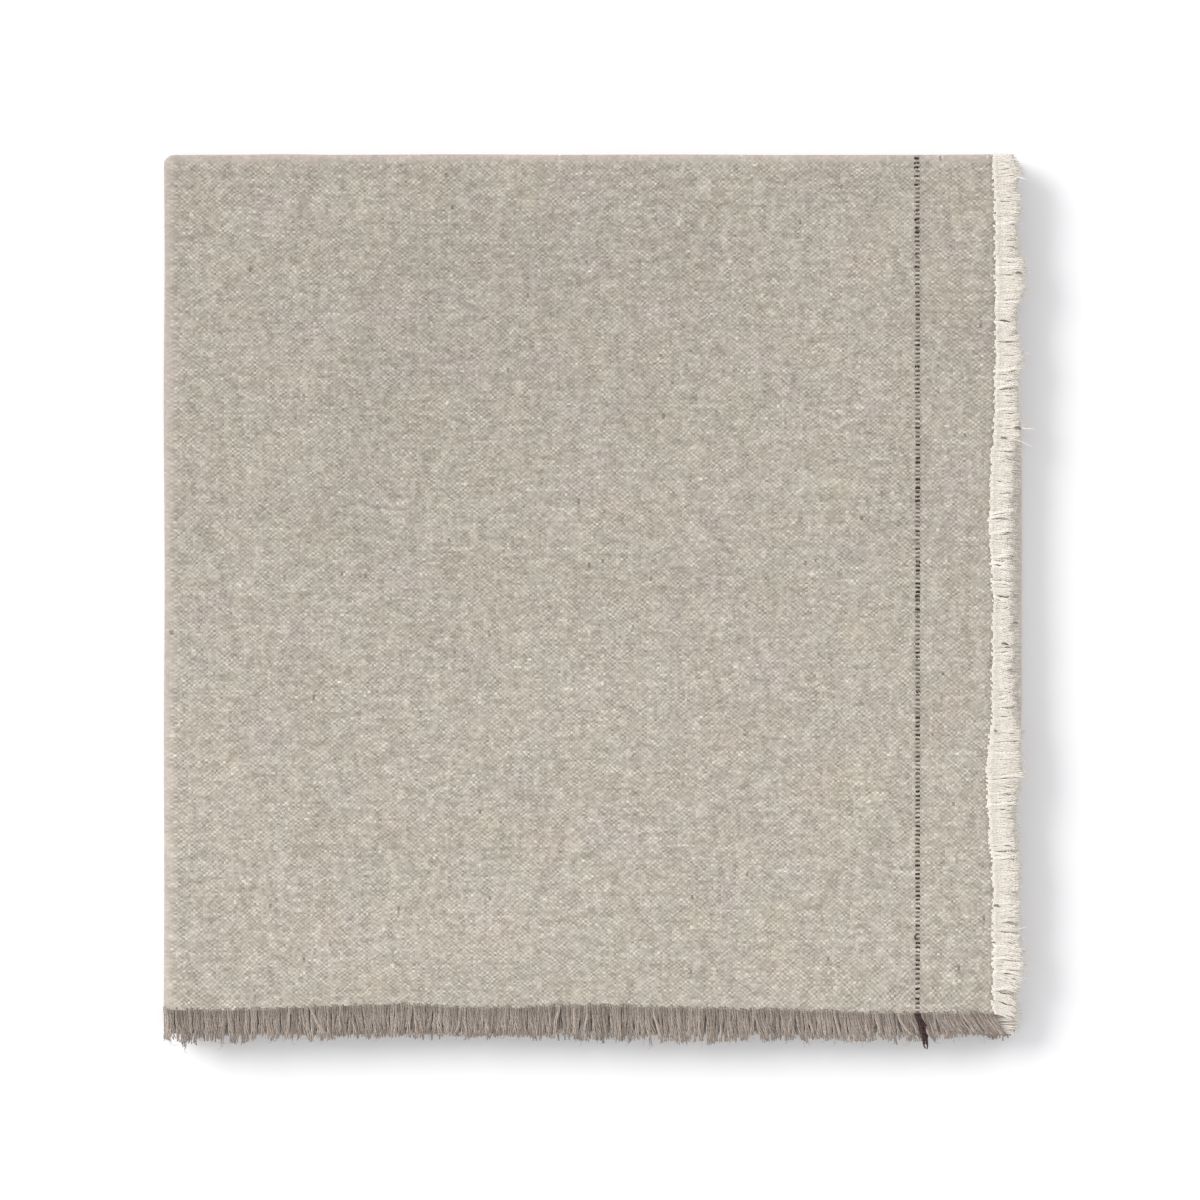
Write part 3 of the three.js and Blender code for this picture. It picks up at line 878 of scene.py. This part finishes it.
def led_along(shape, lines, radii):
    """Corners of a yarn led along each of these lines, which give one point and one radius for a ring."""
    ahead = np.gradient(lines, axis=1)
    ahead = ahead / np.linalg.norm(ahead, axis=2, keepdims=True)
    side = np.cross(ahead, NEARLY_UP)
    side = side / np.linalg.norm(side, axis=2, keepdims=True)
    over = np.cross(ahead, side)
    ring = np.rint(shape["corners"][:, 2] * shape["segments"]).astype(int)
    across = shape["corners"][:, 0][:, None] * side[:, ring] + shape["corners"][:, 1][:, None] * over[:, ring]
    return lines[:, ring] + radii[:, ring, None] * across


# %% [markdown]
# ## The fringes
#
# The weft frays into a cream fringe along the two edges at the right, the warp into a taupe one along the
# two edges at the front. Yarns cling together in clumps of a few, lean, curl and end unevenly, and fine
# hairs stand off them. On the top layer each yarn is drawn as its plies, and its root lies over the last
# few picks, which makes the cloth's edge ragged. On the layers below, where only the tips show from the
# side, a yarn is drawn as one rod.

# %% Shapes of the fringes, in mm
CREAM_TIPS = {
    "at": [9, 21, 41, 61, 75, 95, 112, 131, 159, 244, 280, 288, 310, 321, 330, 341, 350, 358, 370, 379, 390,
           399, 408, 416, 424],
    "out": [13, 17.6, 14.4, 15.2, 13.8, 11.6, 15, 15.8, 11.6, 10.9, 12.4, 15, 12.8, 16, 15.6, 12.6, 13, 17.2,
            17.8, 13.4, 13, 15.2, 13.6, 15.6, 10.2],
}
TAUPE_TIPS = {
    "at": [0, 19, 29, 52, 82, 89, 99, 142, 168, 178, 198, 208, 228, 262, 278, 298, 348, 358, 370, 388, 396,
           416],
    "out": [15, 13.8, 16.2, 17, 16, 15, 16, 17, 18.4, 16, 16.8, 14.2, 14.6, 14, 12.8, 14.8, 16, 15, 18,
            15.4, 17.8, 17.2],
}
CREAM_LEAN = {"at": [0, 8, 22, 45, 390, 424], "lean": [-5, -3.6, -1.2, 0, 0, 1.2]}
TAUPE_LEAN = {"at": [0, 26, 60, 120, 240], "lean": [-9, -4.5, -2, -0.8, 0]}
UPRIGHT = {"at": [0], "lean": [0]}

CREAM_STRAYS = table(
    "along from to bend",
    (414.5, 6, 17.6, -0.6),
    (416, 7, 16, -2.2),
    (290, 7, 21, -0.6),
    (289, 8, 19.5, 1.2),
    (283.5, 9, 20.5, -3.4),
    (40, 8, 16.8, 0.8),
)
cream_edge = {"path": layers, "pitch": PICK_PITCH, "reach": 11.6, "tips": None, "lean": UPRIGHT, "strays": []}
taupe_edge = {"path": strips, "pitch": WARP_PITCH, "reach": 13, "tips": None, "lean": UPRIGHT, "strays": []}
EDGES = {
    "cream first": dict(cream_edge, tips=CREAM_TIPS, lean=CREAM_LEAN, strays=CREAM_STRAYS),
    "cream second": cream_edge,
    "taupe first": dict(taupe_edge, tips=TAUPE_TIPS, lean=TAUPE_LEAN),
    "taupe second": taupe_edge,
}


print("longest tips in mm:", max(CREAM_TIPS["out"]), "cream,", max(TAUPE_TIPS["out"]), "taupe")


# %% A place beside an edge
def beside_edge(edge, out, along, height):
    """World places of points that lie out from a frayed edge, as far along it, in the cloth's plane."""
    is_cream = edge.startswith("cream")
    across = strips if is_cream else layers
    off = -out if edge.endswith("first") else across["length"] + out
    u, v = (off, along) if is_cream else (along, off)
    return place(u, v, height).reshape(*np.shape(out), 3)


# %% Clumps and tips
SHOWN_ON_FOLD = 6  # mm of the closed fold that still counts as the top layer
REACH_VARIES = 0.1
SCALLOPS = {"mean": 1.07, "deep": 0.05, "long": 9}
TIPS_VARY = 0.04
CUT_SHORT = 0.2  # how much a few yarns fall short, against their length


def in_clumps(rng, along, look):
    """For each yarn: its clump's middle, how strongly it is drawn there, and the clump's own lean."""
    length = along[-1] + 1
    narrow = look["narrow"]
    wide = look["wide"]
    cuts = np.cumsum(rng.uniform(narrow, wide, int(length / narrow) + 2)) - wide
    clump = np.searchsorted(cuts, along)
    middles = np.append(cuts, length) - (narrow + wide) / 4
    pull = rng.uniform(0, look["pull"], len(middles))
    lean = rng.normal(0, look["clump_lean"], len(middles))
    return middles[clump], pull[clump], lean[clump]


def tips_of(rng, edge, along):
    """How far out of the cloth's edge each yarn ends."""
    facts = EDGES[edge]
    even = facts["reach"] * (1 + REACH_VARIES * ripple(along, 0, 37, 21))
    shown_to = facts["path"]["parts"][1]["begins"] + SHOWN_ON_FOLD
    if facts["tips"]:
        table = np.interp(along, facts["tips"]["at"], facts["tips"]["out"]) - swing(edge, along)
        even = np.where(along < shown_to, table, even)
    scallops = SCALLOPS["mean"] + SCALLOPS["deep"] * ripple(along, 0, SCALLOPS["long"], 22)
    uneven = rng.normal(0, TIPS_VARY, len(along)) - CUT_SHORT * rng.random(len(along)) ** 6
    return even * scallops * (1 + uneven)


# %% Lines of the yarns
OWN_LEAN = 0.035  # how far a yarn leans by itself, against its length


def yarn_lines(rng, edge, along, tips, rings, clumps, wild, root_inside):
    """For each yarn, how far out it lies, how far along the edge and how high, from its root to its tip."""
    middles, pull, clump_lean = clumps
    share = np.linspace(0, 1, rings)[None, :]
    count = len(along)

    def each(low, high):
        return rng.uniform(low, high, (count, 1))

    lean_of_all = np.interp(along, EDGES[edge]["lean"]["at"], EDGES[edge]["lean"]["lean"])
    inside = each(*root_inside)
    out = -inside + (tips[:, None] + inside) * share
    drawn = ((middles - along) * pull)[:, None] * smooth_step(share, 0.1, 0.9)
    leaning = (clump_lean * tips)[:, None] * share**1.3 + lean_of_all[:, None] * share**1.4
    own = rng.normal(0, OWN_LEAN, (count, 1)) * tips[:, None] * share
    curl = wild * share * np.sin(math.tau * (share * each(0.5, 1.3) + each(0, 1))) * each(0.3, 1)
    curl = curl + 0.35 * wild * share**0.5 * np.sin(math.tau * (share * each(1.5, 2.6) + each(0, 1)))
    bob = 0.45 * wild * share * np.sin(math.tau * (share * each(0.5, 1.2) + each(0, 1)))
    travel = along[:, None] + drawn + leaning + own + curl
    return out - 0.25 * np.abs(curl) * share, travel, bob


def tapered(count, segments, radius, tip):
    """Radii of the rings: full to near the tip, then thin."""
    share = np.linspace(0, 1, segments + 1)
    return np.tile(radius * (1 - (1 - tip) * share**5) * MM, (count, 1))


def above_table(lines, radii):
    """Lines lifted where a yarn would sink into the table."""
    lines[..., 2] = np.maximum(lines[..., 2], 1.05 * radii)
    return lines


# %% Yarns of the layers below
ROOT_UNDER = (0.7, 0.7)  # how far inside the edge such a yarn starts


def hidden_yarns(rng, edge, along, tips, clumps, tone, look):
    """The yarns of the layers below, one rod each."""
    segments = plain_yarn["segments"]
    out, travel, bob = yarn_lines(
        rng, edge, along, tips, segments + 1, clumps, look["wild_inside"], ROOT_UNDER
    )
    radii = tapered(len(along), segments, look["yarn"], look["blunt"])
    lines = above_table(beside_edge(edge, out, travel, bob), radii)
    return [(plain_yarn, led_along(plain_yarn, lines, radii), tone)]


# %% Loose hairs
HAIR_LENGTH = (1, 3.6)


def loose_hairs(rng, edge, out, travel, bob, look):
    """Fine fibres that stand off the yarns, most of them near the tips."""
    count = look["hairs"]
    chosen = rng.integers(0, len(out), count)
    start = np.rint((out.shape[1] - 1) * rng.random(count) ** 0.6).astype(int)
    steps = np.linspace(0, 1, hair["segments"] + 1)[None, :]
    length = rng.uniform(*HAIR_LENGTH, (count, 1))
    heading = rng.normal(0, 0.5, (count, 1)) + rng.normal(0, 0.9, (count, 1)) * steps
    hair_out = out[chosen, start][:, None] + length * steps * np.cos(heading)
    hair_travel = travel[chosen, start][:, None] + length * steps * np.sin(heading)
    hair_height = bob[chosen, start][:, None] + length * steps * rng.normal(0.05, 0.12, (count, 1))
    lines = beside_edge(edge, hair_out, hair_travel, hair_height)
    radii = tapered(count, hair["segments"], look["hair"], 0.4)
    return [(hair, led_along(hair, lines, radii), rng.uniform(0.3, 1, count))]


# %% Yarns of the top layer
ROOT_LIFT = 0.32  # how high over the cloth's middle a yarn comes up out of the weave
LOOSE_STRAY = 2.2  # how far a loose yarn strays to a side
LOOSE_RISE = 0.5  # and how high it lies over the others
PLY_STRAY = 0.22
PLY_SHORTER = 0.07


def shown_yarns(rng, edge, along, tips, clumps, tone, look):
    """The top layer's yarns: plies that twist round each other and part at the tip. A few lie on top."""
    segments = fine_yarn["segments"]
    share = np.linspace(0, 1, segments + 1)[None, :]
    count = len(along)
    rings = segments + 1
    out, travel, bob = yarn_lines(rng, edge, along, tips, rings, clumps, look["wild"], look["root"])
    is_loose = (rng.random(count) < look["loose"])[:, None]
    travel = travel + is_loose * rng.normal(0, LOOSE_STRAY, (count, 1)) * share**1.4
    risen = smooth_step(share, 0, 0.3)
    bob = bob + ROOT_LIFT * (1 - risen) + LOOSE_RISE * is_loose * risen
    tone = np.where(is_loose[:, 0], 0.95, tone)
    turn = math.tau * (rng.random((count, 1)) + share * rng.uniform(0.6, 1.3, (count, 1)))
    apart = look["ply"] * (1.3 + rng.uniform(0.2, 1.4, (count, 1)) * share**2.5)
    radii = tapered(count, segments, look["ply"], look["blunt"])
    batches = []
    for ply in range(look["plies"]):
        angle = turn + math.tau * ply / look["plies"]
        ply_out = out - PLY_SHORTER * rng.random((count, 1)) * tips[:, None] * share
        ply_height = bob + 0.9 * look["ply"] * np.sin(angle)
        stray = rng.normal(0, PLY_STRAY, (count, 1)) * share
        stray = stray * np.sin(math.tau * (share + rng.random((count, 1))))
        lines = beside_edge(edge, ply_out, travel + stray + apart * np.cos(angle), ply_height)
        ply_tone = np.clip(tone + rng.normal(0, look["ply_tone"], count), 0, 1)
        batches.append((fine_yarn, led_along(fine_yarn, lines, radii), ply_tone))
    return batches + loose_hairs(rng, edge, out, travel, bob, look)


# %% Strands that stray
STRAY_RADIUS = 0.2


def stray_yarns(edge, strays):
    """A few thin strands that reach out past all the others, each on its own row of a table."""
    share = np.linspace(0, 1, thick_yarn["segments"] + 1)
    lines = []
    for stray in strays:
        out = stray["from"] + (stray["to"] - stray["from"]) * share
        travel = stray["along"] + stray["bend"] * share**2 + 0.3 * np.sin(5 * share + stray["along"])
        lines.append(beside_edge(edge, out, travel, 0.6 * smooth_step(share, 0, 0.4)))
    radii = tapered(len(strays), thick_yarn["segments"], STRAY_RADIUS, 0.3)
    return thick_yarn, led_along(thick_yarn, np.array(lines), radii), np.full(len(strays), 0.8)


# %% A whole fringe
def fringe(name, edge, seed, look):
    """One fringe over the whole length of its edge, as one piece."""
    rng = np.random.default_rng(seed)
    facts = EDGES[edge]
    along = np.arange(facts["pitch"] / 2, facts["path"]["length"], facts["pitch"])
    if facts["path"] is strips:
        along = along[np.abs(along - BROWN_LINE) > BROWN_WIDTH / 2]
    tips = tips_of(rng, edge, along)
    clumps = in_clumps(rng, along, look)
    tone = np.clip(rng.normal(0.5, look["tone_spread"], len(along)), 0, 1)
    shown_to = facts["path"]["parts"][1]["begins"] + SHOWN_ON_FOLD if facts["tips"] else -1
    batches = []
    for kind, chosen in ((hidden_yarns, along >= shown_to), (shown_yarns, along < shown_to)):
        if chosen.any():
            clumps_here = [part[chosen] for part in clumps]
            batches += kind(rng, edge, along[chosen], tips[chosen], clumps_here, tone[chosen], look)
    if facts["strays"]:
        batches.append(stray_yarns(edge, facts["strays"]))
    return joined(name, batches)


# %% [markdown]
# ## Finish of the yarns
#
# A spun yarn isn't one colour: each has its own tone and fibres wind round it. Painted shade makes it a
# little darker at its root, between its neighbours. The tone comes from an attribute that each copy
# carries, and the winding lines follow the yarn's own map.


# %% Yarn materials
FIBRE_TURNS = 16.0  # how often a fibre winds round a yarn over the length of its map


def yarn_finish(name, dark, light, root_shade, tip_shade, sheen):
    """A material for spun yarn, from its darkest tone to its lightest."""
    yarn = Recipe(name)
    on_yarn = yarn.add("UVMap", 0, {}, uv_map="yarn")
    around = yarn.split(on_yarn, 0)
    along = yarn.split(on_yarn, 1)
    tone = yarn.add("Attribute", "Fac", {}, attribute_name="tone")
    here = yarn.add("TexCoord", "Object", {})
    blotch = yarn.noise(here, 900.0, 2.0)
    tone = yarn.calc("ADD", tone, yarn.remap(blotch, 0.3, 0.7, -0.22, 0.22))
    colour = yarn.mixed(tone, dark, light)
    phase = yarn.calc("MULTIPLY_ADD", around, 2.0, yarn.calc("MULTIPLY", along, FIBRE_TURNS))
    lines = yarn.calc("SINE", yarn.calc("MULTIPLY", phase, math.tau))
    lines = yarn.calc("MULTIPLY_ADD", yarn.noise(here, 4000.0, 1.0), 0.8, lines)
    colour = yarn.shaded(colour, yarn.remap(lines, -1.0, 1.6, 0.92, 1.04))
    # painted shade at the root, between the neighbouring yarns
    colour = yarn.shaded(colour, yarn.remap(along, 0.5, 0.68, root_shade, 1.0))
    colour = yarn.shaded(colour, yarn.remap(along, 0.6, 0.95, 1.0, tip_shade))
    return yarn.finish(colour, 0.9, sheen, lines, 0.00012, 0.5)


cream_finish = yarn_finish("cream yarn", linear(231, 223, 210), linear(250, 244, 235), 0.91, 1.0, 0.25)
taupe_finish = yarn_finish("taupe yarn", linear(124, 113, 104), linear(180, 167, 156), 0.88, 1.2, 0.25)
brown_finish = yarn_finish("brown yarn", BROWN_DARK, BROWN_LIGHT, 0.95, 1.0, 0.08)

# %% The four fringes
CREAM_LOOK = {
    "narrow": 2.5, "wide": 9, "clump_lean": 0.035, "pull": 0.09, "tone_spread": 0.13, "ply_tone": 0.09,
    "wild": 0.6, "wild_inside": 0.35, "yarn": 0.5, "ply": 0.35, "plies": 4, "blunt": 0.4, "loose": 0.05,
    "root": (-0.2, 1.2), "hair": 0.09, "hairs": 1500,
}
TAUPE_LOOK = {
    "narrow": 2, "wide": 7, "clump_lean": 0.05, "pull": 0.16, "tone_spread": 0.18, "ply_tone": 0.17,
    "wild": 0.6, "wild_inside": 0.35, "yarn": 0.55, "ply": 0.34, "plies": 4, "blunt": 0.55, "loose": 0.04,
    "root": (0.0, 1.6), "hair": 0.08, "hairs": 1300,
}
FRINGES = table(
    "name edge node seed",
    ("cream_yarns_first", "cream first", "cream_fringe_first", 31),
    ("cream_yarns_second", "cream second", "cream_fringe_second", 32),
    ("taupe_yarns_first", "taupe first", "taupe_fringe_first", 33),
    ("taupe_yarns_second", "taupe second", "taupe_fringe_second", 34),
)
with_cloth = []
for row in FRINGES:
    is_cream = row["edge"].startswith("cream")
    piece = fringe(row["name"], row["edge"], row["seed"], CREAM_LOOK if is_cream else TAUPE_LOOK)
    piece.data.materials.append(cream_finish if is_cream else taupe_finish)
    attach(piece, "root")
    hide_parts(row["node"])
    with_cloth.append(piece)

# %% [markdown]
# ## The brown line
#
# A bundle of brown warp yarns, woven in as one, goes over a pick and under the next. So it shows as a row
# of short dashes, each one pick long and as wide as the bundle. A dash is three yarns side by side, and
# each of them is a small smooth swelling that dips under the next pick at both ends.


# %% One swelling
def swelling():
    """A ball of radius 1, drawn out to points along Y, as arrays."""
    bpy.ops.object.select_all(action="DESELECT")
    bpy.ops.mesh.primitive_uv_sphere_add(segments=6, ring_count=4, radius=1, rotation=(math.pi / 2, 0, 0))
    ball = bpy.context.object
    bpy.ops.object.transform_apply(location=False, rotation=True, scale=False)
    return as_arrays(ball)


float_shape = swelling()
print("a swelling has", len(float_shape["faces"]), "faces")

# %% Swellings all along the line
FLOAT_HALF_SIZE = (0.42, 0.6, 0.34)
FLOAT_SINKS = 0.06
YARNS_OF_BUNDLE = 3
LOOP = {"u": 36.6, "v": 36, "reach": 1.6, "half": 1.3, "rise": 0.5, "radius": 0.3}
DRAWN_FLAT = {"middle": 37, "half": 2.6, "left": 0.4}  # the dashes that the pulled loop has drawn in
BACK_DRIFT = {"at": [300, 420, 440], "out": [0, 0.7, 0]}

rng = np.random.default_rng(41)
middles = np.arange(PICK_PITCH * 0.5, layers["length"], 2 * PICK_PITCH)
beside = (np.arange(YARNS_OF_BUNDLE) - (YARNS_OF_BUNDLE - 1) / 2) * BROWN_WIDTH / YARNS_OF_BUNDLE
float_v = np.repeat(middles, YARNS_OF_BUNDLE) + rng.normal(0, 0.1, len(middles) * YARNS_OF_BUNDLE)
float_u = BROWN_LINE + np.tile(beside, len(middles)) + rng.normal(0, 0.07, len(float_v))
float_u = float_u + 0.3 * ripple(float_v, 0, 45, 44)
float_u = float_u + np.interp(float_v, BACK_DRIFT["at"], BACK_DRIFT["out"])
strong = np.repeat(rng.uniform(0.35, 1.2, len(middles)) ** 0.8, YARNS_OF_BUNDLE)
strong = strong * rng.uniform(0.8, 1.12, len(float_v))
drawn_in = np.abs(float_v - DRAWN_FLAT["middle"]) < DRAWN_FLAT["half"]
strong = np.where(drawn_in, DRAWN_FLAT["left"] * strong, strong)
corners = float_shape["corners"][None, :, :] * np.array(FLOAT_HALF_SIZE) * strong[:, None, None]
float_w = THICKNESS / 2 - FLOAT_SINKS + 0.25 * (strong - 1)
in_place = place(
    float_u[:, None] + corners[..., 0], float_v[:, None] + corners[..., 1], float_w[:, None] + corners[..., 2]
).reshape(len(float_v), -1, 3)
float_tone = np.clip(rng.normal(0.8, 0.2, len(float_v)) - strong, 0, 1)

# %% The pulled loop
turned = np.linspace(0, math.pi, thick_yarn["segments"] + 1)
loop_line = place(
    LOOP["u"] + LOOP["reach"] * np.sin(turned),
    LOOP["v"] + LOOP["half"] * np.cos(turned),
    THICKNESS / 2 - 0.2 + LOOP["rise"] * np.sin(turned),
)[None]
loop = led_along(thick_yarn, loop_line, np.full((1, len(turned)), LOOP["radius"] * MM))
brown_line = joined("brown_line", [(float_shape, in_place, float_tone), (thick_yarn, loop, np.array([0.3]))])
brown_line.data.materials.append(brown_finish)
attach(brown_line, "root")
with_cloth.append(brown_line)

# %% [markdown]
# ## The brown tufts
#
# Where the brown bundle leaves the cloth its yarns hang loose as a tuft. It lies over the taupe fringe,
# bends to the right, and parts into two points only at its very tip.

# %% Tufts at both ends of the line
TUFT = {"at": [-1, 1.5, 3, 5, 7, 11, 16, 20], "lean": [0, -0.2, -1, -2, -2.7, -3.3, -4.1, -4.7]}
TUFT_STARTS = -0.2  # mm from the cloth's edge
TUFT_DROOPS = 1.3
TUFT_SHAPE = {"share": [0, 0.8, 0.92, 1], "held": [1, 0.85, 0, 0], "parted": [0, 0, 1, 0.45]}
STRAND_RADIUS = 0.6
STRANDS = table(
    "root tip height long",
    (-1.2, -1.0, 0.3, 18.2),
    (-0.6, -0.9, 0.8, 17.8),
    (0.1, -0.5, 0.95, 16),
    (0.7, 0.9, 0.8, 18),
    (1.2, 1.0, 0.3, 17.6),
    (0.2, 0.5, 0.2, 15.6),
)


def tuft(name, edge, raised, seed):
    """A tuft of loose brown yarns, side by side, as one piece."""
    rng = np.random.default_rng(seed)
    share = np.linspace(0, 1, thick_yarn["segments"] + 1)
    lines = []
    for strand in STRANDS:
        out = TUFT_STARTS + (strand["long"] - TUFT_STARTS) * share
        lean = np.interp(out, TUFT["at"], TUFT["lean"])
        held = np.interp(share, TUFT_SHAPE["share"], TUFT_SHAPE["held"])
        parted = np.interp(share, TUFT_SHAPE["share"], TUFT_SHAPE["parted"])
        beside = held * strand["root"] + parted * strand["tip"]
        weave_in = 0.12 * np.sin(math.tau * (1.4 * share + rng.random()))
        height = strand["height"] + raised * smooth_step(share, 0, 0.3) - TUFT_DROOPS * share**2
        lines.append(beside_edge(edge, out, BROWN_LINE + lean + beside + weave_in, height))
    radii = tapered(len(lines), thick_yarn["segments"], STRAND_RADIUS, 0.4)
    corners = led_along(thick_yarn, above_table(np.array(lines), radii), radii)
    piece = joined(name, [(thick_yarn, corners, rng.uniform(0, 0.25, len(lines)))])
    piece.data.materials.append(brown_finish)
    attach(piece, "root")
    return piece


tuft_first = tuft("brown_tuft_front", "taupe first", 0.5, 51)
tuft_second = tuft("brown_tuft_inside", "taupe second", 0.0, 52)
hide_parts("brown_tuft_first")
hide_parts("brown_tuft_second")
with_cloth += [tuft_first, tuft_second]

# %% [markdown]
# ## Dark specks in the cream fringe
#
# Here and there a bit of dark fibre was spun into the cream yarn. Each is a short knot, thick in the
# middle, that lies among the yarns of the fringe.

# %% Specks, in mm from the cream edge and along it
SPECKS = table(
    "out along long radius",
    (6, 182, 3.8, 0.5),
    (11.3, 192.5, 2.6, 0.45),
    (1.5, 51.4, 3.4, 0.5),
    (0, 33, 2.6, 0.35),
    (2.2, 138.5, 2, 0.45),
    (5, 284.5, 3.6, 0.4),
    (12, 289.6, 4.4, 0.6),
    (11.5, 367, 4, 0.4),
)

share = np.linspace(0, 1, thick_yarn["segments"] + 1)
speck_lines = []
for speck in SPECKS:
    out = speck["out"] + speck["long"] * (share - 0.5)
    sunk = 0.75 - 1.6 * (share - 0.5) ** 2
    speck_lines.append(beside_edge("cream first", out, speck["along"] + 0.4 * np.sin(4 * share), sunk))
swelling_of_speck = np.sqrt(np.sin(math.pi * np.clip(share, 0.02, 0.98)))
speck_radii = np.array([speck["radius"] for speck in SPECKS])[:, None] * swelling_of_speck * MM
speck_corners = led_along(thick_yarn, np.array(speck_lines), speck_radii)
dark_specks = joined("dark_specks", [(thick_yarn, speck_corners, np.zeros(len(SPECKS)))])
dark_specks.data.materials.append(taupe_finish)
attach(dark_specks, "root")
with_cloth.append(dark_specks)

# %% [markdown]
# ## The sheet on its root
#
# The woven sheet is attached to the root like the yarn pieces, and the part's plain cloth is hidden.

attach(cloth, "root")
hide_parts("cloth")
